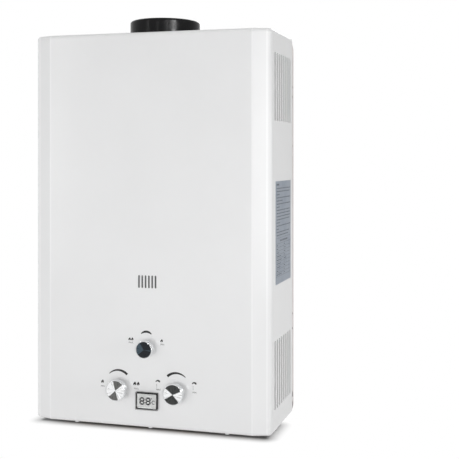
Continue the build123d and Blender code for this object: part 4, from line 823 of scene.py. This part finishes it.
def press_beads(material, half_width, half_height):
    """Add the pressed beads, one inside the other, to the relief of a sheet."""
    tree = material.node_tree
    bump = next(each for each in tree.nodes if each.bl_idname == "ShaderNodeBump")
    zinc = bump.inputs["Height"].links[0].from_socket
    beads = []
    for inset, corner in PRESSED_BEADS:
        sizes = {"Half Width": half_width - inset, "Half Height": half_height - inset}
        placed = group_node(tree, "Pressed Bead", {**sizes, "Corner": corner, "Bead Width": BEAD_WIDTH})
        beads.append(placed.outputs["Relief"])
    pressed = calc(tree, "MAXIMUM", *beads)
    give(bump, "Height", calc(tree, "MULTIPLY_ADD", zinc, ZINC_SHARE, pressed))


class HEATER_OT_galvanise_sheet(bpy.types.Operator):
    """Galvanise the back plate, shelf, brackets and burner frame, and plate the screws"""

    bl_idname = "heater.galvanise_sheet"
    bl_label = "Galvanise sheet"

    def execute(self, context):
        finish = context.scene.heater_finish
        zinc = {"Colour": finish.zinc_sheet, "Roughness": 0.5, "Contrast": 0.10, "Facets": 130.0}
        sheet = finished("galvanised_sheet", "Spangle", (0.05, 0.00003), Metallic=0.45, **zinc)
        clad(sheet, "hanging_bracket", "bottom_shelf", "electrode_bracket")
        low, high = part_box("back_plate")
        rear = finished("pressed_back_sheet", "Spangle", (0.6, 0.0012), Metallic=0.45, **zinc)
        press_beads(rear, (high.x - low.x) / 2, (high.z - low.z) / 2)
        clad(rear, "back_plate")
        warm = {"Flame Height": -0.125, "Fade Height": -0.075, "Strength": 0.6}
        hot = finished("burner_sheet", "Spangle", (0.05, 0.00003), warm, Metallic=0.7, **zinc)
        clad(hot, "burner_frame")
        plated = finished(
            "zinc_plated_steel", "Drawn Metal", (0.08, 0.00002), Colour=finish.bright_steel, Metallic=1.0,
            Tarnish_Colour=(0.30, 0.29, 0.27), Tarnish=0.35, Roughness=0.26, Stretch=(700.0, 60.0, 700.0),
        )
        clad(plated, "case_screws", "housing_bolts", "push_rod", "switch_lever", "battery_contacts")
        clad(plated, "gas_spindle", "water_spindle", "season_spindle")
        return {"FINISHED"}


class HEATER_OT_enamel_flue(bpy.types.Operator):
    """Enamel the flue collar and soot the hood below it"""

    bl_idname = "heater.enamel_flue"
    bl_label = "Enamel flue"

    def execute(self, context):
        finish = context.scene.heater_finish
        gloss = finished(
            "black_enamel", "Drawn Metal", (0.5, 0.0003), Colour=finish.black_enamel, Specular_IOR_Level=0.13,
            Tarnish_Colour=(0.014, 0.014, 0.014), Tarnish=0.4, Roughness=0.16, Stretch=(18.0, 18.0, 380.0),
        )
        clad(gloss, "flue_collar")
        rubber = {"Colour": finish.black_rubber, "Roughness": 0.7, "Grain": 1200.0, "Rubbing": 0.15}
        clad(finished("moulded_rubber", "Moulded Grain", (0.2, 0.00005), **rubber), "flue_gasket", "diaphragm")
        soot = {"Colour": finish.sooty_steel, "Roughness": 0.6, "Grain": 500.0, "Specks": 0.5, "Metallic": 0.3}
        clad(finished("sooty_steel", "Cast Grain", (0.2, 0.00008), **soot), "flue_hood", "hood_posts")
        return {"FINISHED"}


# ---------------------------------------------------------------- heat and water
class HEATER_OT_finish_copper(bpy.types.Operator):
    """Finish the heat exchanger, its coil and the pipes as drawn copper"""

    bl_idname = "heater.finish_copper"
    bl_label = "Finish copper"

    def execute(self, context):
        finish = context.scene.heater_finish
        jacket_low, jacket_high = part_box("exchanger_jacket")
        copper = {
            "Colour": finish.copper,
            "Tarnish_Colour": finish.dull_copper,
            "Tarnish": 0.75,
            "Roughness": 0.34,
            "Stretch": (500.0, 500.0, 40.0),
            "Metallic": 1.0,
        }
        heat = {"Flame Height": jacket_low.z, "Fade Height": jacket_high.z - 0.05, "Strength": 0.85}
        hot = finished("heated_copper", "Drawn Metal", (0.08, 0.00003), heat, **copper)
        clad(hot, "exchanger_jacket", "exchanger_fins", "exchanger_tubes")
        piping = {**copper, "Tarnish": 0.35, "Roughness": 0.24}
        drawn = finished("drawn_copper", "Drawn Metal", (0.08, 0.00003), **piping)
        clad(drawn, "jacket_coil", "cold_pipe", "hot_pipe")
        return {"FINISHED"}


class HEATER_OT_finish_brass(bpy.types.Operator):
    """Finish the water valve, stubs, unions and probes as forged brass"""

    bl_idname = "heater.finish_brass"
    bl_label = "Finish brass"

    def execute(self, context):
        finish = context.scene.heater_finish
        machined = finished(
            "turned_brass", "Drawn Metal", (0.15, 0.00004), Colour=finish.brass, Tarnish_Colour=finish.dull_brass,
            Tarnish=0.4, Roughness=0.24, Stretch=(120.0, 120.0, 1400.0), Metallic=1.0,
        )
        clad(machined, "hot_outlet", "gas_inlet", "water_inlet", "connection_locknuts", "pipe_unions")
        clad(machined, "gas_nozzles", "temperature_probe")
        forged = {"Colour": finish.brass, "Roughness": 0.36, "Grain": 700.0, "Specks": 0.35, "Metallic": 1.0}
        forging = finished("forged_brass", "Cast Grain", (0.25, 0.00008), **forged)
        clad(forging, "water_valve_body", "diaphragm_cover")
        return {"FINISHED"}


class HEATER_OT_finish_gas_train(bpy.types.Operator):
    """Finish the gas valves, riser, manifold and burner bars"""

    bl_idname = "heater.finish_gas_train"
    bl_label = "Finish gas train"

    def execute(self, context):
        finish = context.scene.heater_finish
        cast = {"Colour": finish.die_cast, "Roughness": 0.42, "Grain": 850.0, "Specks": 0.3, "Metallic": 0.9}
        casting = finished("die_cast_aluminium", "Cast Grain", (0.2, 0.00006), **cast)
        clad(casting, "gas_valve_body", "season_valve_body", "gas_riser", "gas_manifold")
        low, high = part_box("burner_bars")
        heat = {"Flame Height": high.z + 0.02, "Fade Height": low.z, "Strength": 0.5}
        bars = finished(
            "burner_steel", "Drawn Metal", (0.1, 0.00003), heat, Colour=finish.burner_steel, Metallic=1.0,
            Tarnish_Colour=(0.20, 0.15, 0.12), Tarnish=0.6, Roughness=0.36, Stretch=(500.0, 30.0, 500.0),
        )
        clad(bars, "burner_bars")
        return {"FINISHED"}


class HEATER_OT_finish_ignition(bpy.types.Operator):
    """Finish the controller, electrodes, leads, solenoid and switch"""

    bl_idname = "heater.finish_ignition"
    bl_label = "Finish ignition"

    def execute(self, context):
        finish = context.scene.heater_finish
        black = {"Colour": finish.black_plastic, "Roughness": 0.5, "Grain": 1300.0, "Rubbing": 0.15}
        moulding = finished("black_moulding", "Moulded Grain", (0.2, 0.00004), **black)
        clad(moulding, "ignition_controller", "solenoid_valve", "microswitch", "overheat_thermostat")
        glaze = {"Colour": finish.ceramic, "Roughness": 0.22, "Grain": 600.0, "Specks": 0.1}
        clad(finished("glazed_ceramic", "Cast Grain", (0.05, 0.00003), **glaze), "igniter_electrode", "flame_sensor")
        sleeve = {"Colour": (0.035, 0.033, 0.033), "Roughness": 0.6, "Grain": 1800.0, "Rubbing": 0.1}
        clad(finished("silicone_sleeve", "Moulded Grain", (0.2, 0.00004), **sleeve), "ignition_leads")
        return {"FINISHED"}


HARNESS_WIRES = (
    # name, colour setting, route in metres
    (
        "battery_wire_live",
        "wire_red",
        ((0.160, -0.050, -0.2605), (0.157, -0.044, -0.250), (0.128, -0.030, -0.246), (0.060, -0.016, -0.243),
         (-0.020, -0.010, -0.238), (-0.080, -0.010, -0.222), (-0.119, -0.014, -0.212)),
    ),
    (
        "battery_wire_return",
        "wire_teal",
        ((0.167, -0.046, -0.2605), (0.163, -0.038, -0.247), (0.128, -0.024, -0.242), (0.060, -0.012, -0.239),
         (-0.020, -0.006, -0.234), (-0.080, -0.006, -0.218), (-0.119, -0.010, -0.208)),
    ),
    (
        "display_wire",
        "wire_pale",
        ((-0.006, -0.1418, -0.265), (-0.008, -0.134, -0.240), (-0.026, -0.128, -0.224), (-0.066, -0.122, -0.222),
         (-0.098, -0.080, -0.218), (-0.112, -0.034, -0.204), (-0.119, -0.018, -0.200)),
    ),
    (
        "switch_wire",
        "wire_red",
        ((-0.006, -0.098, -0.2230), (-0.010, -0.086, -0.216), (-0.040, -0.072, -0.214), (-0.090, -0.046, -0.208),
         (-0.119, -0.020, -0.196)),
    ),
    (
        "solenoid_wire",
        "wire_black",
        ((-0.094, -0.090, -0.2445), (-0.098, -0.074, -0.236), (-0.108, -0.042, -0.226), (-0.119, -0.021, -0.218)),
    ),
    (
        "thermostat_wire",
        "wire_black",
        ((-0.1330, -0.078, 0.105), (-0.143, -0.066, 0.098), (-0.150, -0.020, 0.070), (-0.151, -0.012, 0.000),
         (-0.151, -0.012, -0.100), (-0.151, -0.012, -0.1685)),
    ),
    (
        "probe_wire",
        "wire_pale",
        ((-0.160, -0.0688, -0.064), (-0.170, -0.070, -0.072), (-0.179, -0.040, -0.100), (-0.172, -0.014, -0.134),
         (-0.168, -0.013, -0.1685)),
    ),
)


def wire(name, route, radius, material):
    """A round insulated wire along a smooth route inside the case."""
    curve = bpy.data.curves.new(name, "CURVE")
    curve.dimensions = "3D"
    curve.bevel_depth = radius
    curve.bevel_resolution = 2
    curve.use_fill_caps = True
    spline = curve.splines.new("BEZIER")
    spline.resolution_u = 8
    spline.bezier_points.add(len(route) - 1)
    for knot, point in zip(spline.bezier_points, route):
        knot.co = point
        knot.handle_left_type = knot.handle_right_type = "AUTO"
    vertices, faces = mesh_of(curve)
    piece = add_piece(name, vertices, faces, material)
    for face in piece.data.polygons:
        face.use_smooth = True


class HEATER_OT_run_harness(bpy.types.Operator):
    """Run the thin wires from the controller to the cells, display, switch, solenoid and sensors"""

    bl_idname = "heater.run_harness"
    bl_label = "Run harness"

    def execute(self, context):
        finish = context.scene.heater_finish
        sleeves = {}
        for name, setting, route in HARNESS_WIRES:
            if setting not in sleeves:
                sleeves[setting] = finished(
                    setting, "Moulded Grain", (0.15, 0.00003),
                    Colour=getattr(finish, setting), Roughness=0.45, Grain=1800.0, Rubbing=0.1,
                )
            wire(name, route, finish.wire_radius, sleeves[setting])
        return {"FINISHED"}


# ---------------------------------------------------------------- controls
KNOB_PAINTED_FANS = {
    # control: middle and half spread of each painted dark reflection fan, clockwise from upright in degrees
    "gas": ((17.0, 34.0), (195.0, 34.0)),
    "water": ((7.0, 60.0), (189.0, 52.0)),
    "season": ((30.0, 62.0), (165.0, 66.0)),
}


class HEATER_OT_finish_knobs(bpy.types.Operator):
    """Finish the knob bodies, and the spun metal faces let into them with a painted reflection of dark fans"""

    bl_idname = "heater.finish_knobs"
    bl_label = "Finish knobs"

    def execute(self, context):
        finish = context.scene.heater_finish
        body = {"Colour": finish.knob_plate, "Roughness": 0.16, "Grain": 1600.0, "Rubbing": 0.06, "Metallic": 0.85}
        moulded = finished("satin_plated_moulding", "Moulded Grain", (0.05, 0.00002), **body)
        tones = {
            "gas": (finish.disc_painted_light, finish.gas_disc_painted_dark),
            "water": (finish.disc_painted_light, finish.disc_painted_dark),
            "season": (finish.season_painted_light, finish.season_painted_dark),
        }
        for control, fans in KNOB_PAINTED_FANS.items():
            clad(moulded, f"{control}_knob")
            low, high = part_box(f"{control}_knob_face")
            light, dark = tones[control]
            disc = {"Light": light, "Dark": dark, "Centre": ((low.x + high.x) / 2, low.y, (low.z + high.z) / 2)}
            for fan, (middle, half) in zip(("First", "Second"), fans):
                disc[f"{fan}_Middle"] = math.radians(middle)
                disc[f"{fan}_Edge"] = math.cos(math.radians(half))
            spun = finished(f"{control}_spun_disc", "Spun Disc", (0.10, 0.00003), Metallic=0.6, **disc)
            clad(spun, f"{control}_knob_face")
        return {"FINISHED"}


# Places on the front are given across from the middle and up from the case's lower edge, in metres.
MARK_ARCS = (
    # centre, radius, start and end in degrees clockwise from upright, widths at start, middle and end
    ((-0.0029, 0.1418), 0.0123, -48.0, 46.0, (0.0009, 0.0036, 0.0015)),
    ((-0.0516, 0.0677), 0.0220, -45.0, 45.0, (0.0012, 0.0030, 0.0039)),
    ((0.0485, 0.0683), 0.0225, -43.0, 43.0, (0.0041, 0.0032, 0.0012)),
)
MARK_FLAMES = (
    # across, foot, size against the standard flame
    (-0.0320, 0.1386, 0.90),
    (-0.0274, 0.1386, 0.90),
    (0.0232, 0.1383, 0.95),
    (-0.0796, 0.0670, 1.05),
    (-0.0232, 0.0668, 1.10),
    (-0.0172, 0.0668, 1.10),
)
FLAME_OPENING = (0.28, 0.34)  # width and height as shares of the flame's
MARK_TAPS = ((0.0168, 0.0756), (0.0784, 0.0761))
# A tap's spout and stub, in eighths of the tap's width; the spout's two ends are angles in radians.
SPOUT_DROP, SPOUT_RADIUS, SPOUT_ENDS = 2.4, 3.7, (-1.15, 0.95)
SPOUT_WIDTHS = (1.3, 2.25, 3.2)  # at the start, middle and end
STUB_SIDES = (2.1, 4.0, -1.3, -0.2)  # left, right, bottom and top
# The drops below a tap's mouth: how far back and below the first one hangs, and their pitch, width and height.
DROP_COUNT, DROP_BACK, DROP_FALL, DROP_PITCH, DROP_SIZE = 3, 0.0018, 0.0055, 0.0022, (0.0010, 0.0014)
MARK_WORDS = (
    ("MAX", -0.0295, 0.1352),
    ("MIN", 0.0245, 0.1348),
    ("MIN", -0.0790, 0.0618),
    ("MAX", -0.0200, 0.0615),
    ("MAX", 0.0180, 0.0625),
    ("MIN", 0.0790, 0.0618),
)
OFF_DOT = (-0.0660, 0.0620, 0.0010)  # across, up and radius


class HEATER_OT_print_front(bpy.types.Operator):
    """Print the arcs, flames, taps and small words round the knobs"""

    bl_idname = "heater.print_front"
    bl_label = "Print front"

    def execute(self, context):
        finish = context.scene.heater_finish
        sizes = context.scene.heater_print
        y = front_face - sizes.lift
        ink = printing_ink("front_print_ink", finish.print_ink)
        arcs = Print()
        for (x, rise), radius, start, end, widths in MARK_ARCS:
            centre = (x, case_bottom + rise)
            arcs.band(*tapered_arc(centre, radius, math.radians(start), math.radians(end), widths))
        arcs.onto_front("front_print_arcs", y, ink, "black_enamel")
        flames = Print()
        for x, rise, share in MARK_FLAMES:
            foot = case_bottom + rise
            width, height = sizes.flame_width * share, sizes.flame_height * share
            opening = (width * FLAME_OPENING[0], height * FLAME_OPENING[1])
            flames.band(flame_outline(x, foot, width, height), flame_outline(x, foot, *opening), closed=True)
        x, rise, radius = OFF_DOT
        flames.shape(disc_outline(x, case_bottom + rise, radius))
        flames.onto_front("front_print_flames", y, ink, "black_enamel")
        taps, drops = Print(), Print()
        eighth = sizes.tap_width / 8
        for x, rise in MARK_TAPS:
            level = case_bottom + rise
            bend = (x, level - SPOUT_DROP * eighth)
            widths = [width * eighth for width in SPOUT_WIDTHS]
            taps.band(*tapered_arc(bend, SPOUT_RADIUS * eighth, *SPOUT_ENDS, widths))
            left, right, bottom, top = [side * eighth for side in STUB_SIDES]
            taps.bar(x + left, x + right, level + bottom, level + top)
            for index in range(DROP_COUNT):
                foot = level - DROP_FALL - DROP_PITCH * index
                drops.shape(flame_outline(x - DROP_BACK, foot, *DROP_SIZE, steps=8))
        taps.onto_front("front_print_taps", y, ink, "black_enamel")
        faint = printing_ink("front_word_ink", finish.word_ink)
        drops.onto_front("front_print_drops", y, faint, "black_enamel")
        for index, (words, x, rise) in enumerate(MARK_WORDS):
            at = (x, y, case_bottom + rise)
            lettering(f"front_word_{index}", words, at, sizes.word_height, faint)
        return {"FINISHED"}


# Places on the display are given across and up from its middle, in metres.
DIGIT_LEFTS = (-0.0112, -0.0008)  # left sides of the two digits
DISPLAY_ARCS = (
    # centre, radius, start and end in degrees, width, steps: the degree ring, then the letter
    ((0.0083, 0.0046), 0.0008, 0.0, 360.0, 0.0005, 16),
    ((0.0116, -0.0014), 0.0026, 135.0, 405.0, 0.0011, 24),
)
SEGMENT_GAP = 0.05  # from a segment's end to the digit's corner, as a share of its width


def segment(print_out, start, end, width):
    """One lozenge-ended bar of a digit."""
    start, end = Vector(start), Vector(end)
    along = (end - start).normalized()
    side = Vector((-along.y, along.x)) * width / 2
    first = start + along * width * SEGMENT_GAP
    last = end - along * width * SEGMENT_GAP
    tip = along * width / 2
    corners = [first, first + tip - side, last - tip - side, last, last - tip + side, first + tip + side]
    print_out.shape([tuple(corner) for corner in corners])


class HEATER_OT_light_display(bpy.types.Operator):
    """Finish the display's frame, window and panel, and draw its digits"""

    bl_idname = "heater.light_display"
    bl_label = "Light display"

    def execute(self, context):
        finish = context.scene.heater_finish
        sizes = context.scene.heater_print
        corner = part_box("display_bezel")[0]
        # Painted light: the frame is pale along its left and lower sides, as if lit there.
        tones = {
            "Dark": finish.display_frame,
            "Pale": finish.display_painted_light,
            "Corner": tuple(corner),
            "Width": sizes.frame_painted_light_width,
        }
        frame_gloss = finished(
            "display_frame_gloss", "Moulded Grain", (0.05, 0.00002), pattern=("Two Tone Frame", tones),
            Colour=finish.display_frame, Roughness=0.22, Grain=1400.0, Rubbing=0.06, Specular_IOR_Level=0.3,
        )
        clad(frame_gloss, "display_bezel")
        panel = {"Colour": finish.display_panel, "Roughness": 0.45, "Grain": 3000.0, "Rubbing": 0.05}
        lit = finished("display_panel", "Moulded Grain", (0.05, 0.00001), **panel)
        clad(lit, "display_board")
        window, shader = new_material("clear_window", Transmission_Weight=1.0, IOR=1.15, Metallic=0.0)
        tree = window.node_tree
        smear = noise(tree, place(tree), scale=120.0, detail=3.0)
        give(shader, "Roughness", remap(tree, smear, (0.4, 0.7), (0.01, 0.06)))
        clad(window, "display_window")
        mica = {"Colour": finish.mica, "Roughness": 0.35, "Grain": 300.0, "Specks": 0.5}
        clad(finished("mica_sheet", "Cast Grain", (0.1, 0.00004), **mica), "vent_window")
        low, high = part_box("display_board")
        y = low.y - sizes.lift
        middle_x, middle_z = (low.x + high.x) / 2, (low.z + high.z) / 2
        ink = printing_ink("display_segments", (0.02, 0.021, 0.023))
        digits = Print()
        half_height, stroke = sizes.digit_height / 2, sizes.segment_width
        rows = (middle_z - half_height, middle_z, middle_z + half_height)
        for offset in DIGIT_LEFTS:
            left = middle_x + offset
            right = left + sizes.digit_width
            for z in rows:
                segment(digits, (left, z), (right, z), stroke)
            for x in (left, right):
                segment(digits, (x, rows[0]), (x, rows[1]), stroke)
                segment(digits, (x, rows[1]), (x, rows[2]), stroke)
        for (across, up), radius, start, end, width, steps in DISPLAY_ARCS:
            centre = (middle_x + across, middle_z + up)
            digits.band(*tapered_arc(centre, radius, math.radians(start), math.radians(end), (width,) * 3, steps))
        digits.onto_front("display_digits", y, ink, "display_panel")
        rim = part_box("display_window")
        margin = Print()
        margin.bar(rim[0].x, low.x, rim[0].z, high.z)
        margin.bar(low.x, high.x, rim[0].z, low.z)
        margin.onto_front("display_margin", low.y, lit, "display_panel")
        return {"FINISHED"}


# ---------------------------------------------------------------- rating plate
# Lengths of the paragraph's lines, and of the name and value in each row of the table, as shares of their room.
PARAGRAPH_LINES = (1.00, 0.96, 0.22, 1.00, 0.44, 1.00, 0.22, 0.97, 1.00, 1.00, 0.96, 0.26, 1.00, 0.16, 0.90, 0.84)
TABLE_ROWS = (
    (0.16, 0.14), (0.22, 0.24), (0.33, 0.22), (0.62, 0.12), (0.70, 0.30),
    (0.58, 0.10), (0.52, 0.18), (0.22, 0.10), (0.70, 0.14),
)
# Lengths on the plate, in metres.
PLATE_MARGIN, PLATE_INDENT, VALUE_INDENT = 0.004, 0.001, 0.003
PLATE_BLOCK = (0.0165, 0.0070, 0.0040)  # the block's width, and its bottom and top below the plate's upper edge
FIRST_LINE, LINE_PITCH, ROW_PITCH = 0.0115, 0.0050, 0.0058
TABLE_RISE, HEADING_DROP, ROWS_DROP = 0.0005, 0.0045, 0.0042
HEADING_INSETS = (0.026, 0.022)  # from the plate's left and right edges
WORD_LENGTHS, WORD_GAP, WORD_SEED = (0.0022, 0.0085), 0.0011, 7
# Heights of the words as shares of the plate's line height.
PARAGRAPH_WEIGHT, HEADING_WEIGHT, ROW_WEIGHT = 0.75, 1.3, 0.7


class HEATER_OT_rule_rating_plate(bpy.types.Operator):
    """Finish the rating plate's foil and print its rules and line fill"""

    bl_idname = "heater.rule_rating_plate"
    bl_label = "Rule rating plate"

    def execute(self, context):
        finish = context.scene.heater_finish
        sizes = context.scene.heater_print
        foil = finished(
            "label_foil", "Drawn Metal", (0.05, 0.00002), Colour=finish.label_foil, Specular_IOR_Level=0.3,
            Tarnish_Colour=(0.28, 0.32, 0.39), Tarnish=0.4, Roughness=0.42, Stretch=(30.0, 30.0, 1800.0),
        )
        clad(foil, "rating_plate")
        ink = printing_ink("label_ink", finish.label_ink)
        dice = random.Random(WORD_SEED)
        left, right = rating_low.y + PLATE_MARGIN, rating_high.y - PLATE_MARGIN
        top = rating_high.z
        start = left + PLATE_INDENT
        fill = Print()

        def line_fill(x, end, z, weight):
            """Word-like dashes from a start to an end."""
            half = sizes.text_height * weight / 2
            while x < end:
                word = min(dice.uniform(*WORD_LENGTHS), end - x)
                fill.bar(x, x + word, z - half, z + half)
                x += word + WORD_GAP

        block_width, block_bottom, block_top = PLATE_BLOCK
        fill.bar(left, left + block_width, top - block_bottom, top - block_top)
        z = top - FIRST_LINE
        for share in PARAGRAPH_LINES:
            line_fill(start, left + (right - left) * share, z, PARAGRAPH_WEIGHT)
            z -= LINE_PITCH
        table_top = z + TABLE_RISE
        heading_z = table_top - HEADING_DROP
        heading_left, heading_right = HEADING_INSETS
        line_fill(rating_low.y + heading_left, rating_high.y - heading_right, heading_z, HEADING_WEIGHT)
        first_row = heading_z - ROWS_DROP
        column = (rating_low.y + rating_high.y) / 2
        rules = [table_top] + [first_row - index * ROW_PITCH for index in range(len(TABLE_ROWS) + 1)]
        half_rule = sizes.rule_width / 2
        for rule_z in rules:
            fill.bar(left - PLATE_INDENT, right + PLATE_INDENT, rule_z - half_rule, rule_z + half_rule)
        fill.bar(column - half_rule, column + half_rule, rules[-1], rules[1])
        span = column - left
        for index, (name_share, value_share) in enumerate(TABLE_ROWS):
            z = first_row - (index + 0.5) * ROW_PITCH
            line_fill(start, start + span * name_share, z, ROW_WEIGHT)
            line_fill(column + VALUE_INDENT, column + VALUE_INDENT + span * value_share, z, ROW_WEIGHT)
        fill.onto_right("rating_plate_print", rating_high.x + sizes.lift, ink)
        return {"FINISHED"}


# ---------------------------------------------------------------- battery box
class HEATER_OT_finish_battery_box(bpy.types.Operator):
    """Finish the battery box, its lid and the cells in it"""

    bl_idname = "heater.finish_battery_box"
    bl_label = "Finish battery box"

    def execute(self, context):
        finish = context.scene.heater_finish
        pale = {"Colour": finish.pale_plastic, "Roughness": 0.45, "Grain": 1400.0, "Rubbing": 0.1}
        clad(finished("pale_moulding", "Moulded Grain", (0.15, 0.00004), **pale), "battery_box", "battery_lid")
        sleeve = {"Colour": (0.10, 0.12, 0.15), "Roughness": 0.3, "Mottle": 0.05, "Peel": 500.0, "Coat_Weight": 0.4}
        clad(finished("cell_sleeve", "Powder Coat", (0.05, 0.00003), **sleeve), "battery_cells")
        return {"FINISHED"}


# ---------------------------------------------------------------- panel
OPERATORS = (
    HEATER_OT_place_camera,
    HEATER_OT_set_studio,
    HEATER_OT_coat_cover,
    HEATER_OT_galvanise_sheet,
    HEATER_OT_enamel_flue,
    HEATER_OT_finish_copper,
    HEATER_OT_finish_brass,
    HEATER_OT_finish_gas_train,
    HEATER_OT_finish_ignition,
    HEATER_OT_run_harness,
    HEATER_OT_finish_knobs,
    HEATER_OT_print_front,
    HEATER_OT_light_display,
    HEATER_OT_rule_rating_plate,
    HEATER_OT_finish_battery_box,
)


class HEATER_PT_tools(bpy.types.Panel):
    """Lists the heater's settings and operators"""

    bl_label = "Water heater"
    bl_idname = "HEATER_PT_tools"
    bl_space_type = "VIEW_3D"
    bl_region_type = "UI"
    bl_category = "Heater"

    def draw(self, context):
        scene = context.scene
        for settings in (scene.heater_finish, scene.heater_print, scene.heater_studio):
            column = self.layout.column()
            for name in settings.bl_rna.properties.keys():
                if name not in ("rna_type", "name"):
                    column.prop(settings, name)
        for operator in OPERATORS:
            self.layout.operator(operator.bl_idname)


CLASSES = (HeaterFinish, HeaterPrint, HeaterStudio, *OPERATORS, HEATER_PT_tools)


def register():
    """Register the classes and hang the settings on the scene."""
    for each in CLASSES:
        bpy.utils.register_class(each)
    bpy.types.Scene.heater_finish = PointerProperty(type=HeaterFinish)
    bpy.types.Scene.heater_print = PointerProperty(type=HeaterPrint)
    bpy.types.Scene.heater_studio = PointerProperty(type=HeaterStudio)


def unregister():
    """Take the settings and classes away again."""
    del bpy.types.Scene.heater_studio
    del bpy.types.Scene.heater_print
    del bpy.types.Scene.heater_finish
    for each in reversed(CLASSES):
        bpy.utils.unregister_class(each)


def main():
    """Make every piece in order."""
    register()
    for operator in OPERATORS:
        module, name = operator.bl_idname.split(".")
        getattr(getattr(bpy.ops, module), name)()


if __name__ == "__main__":
    main()
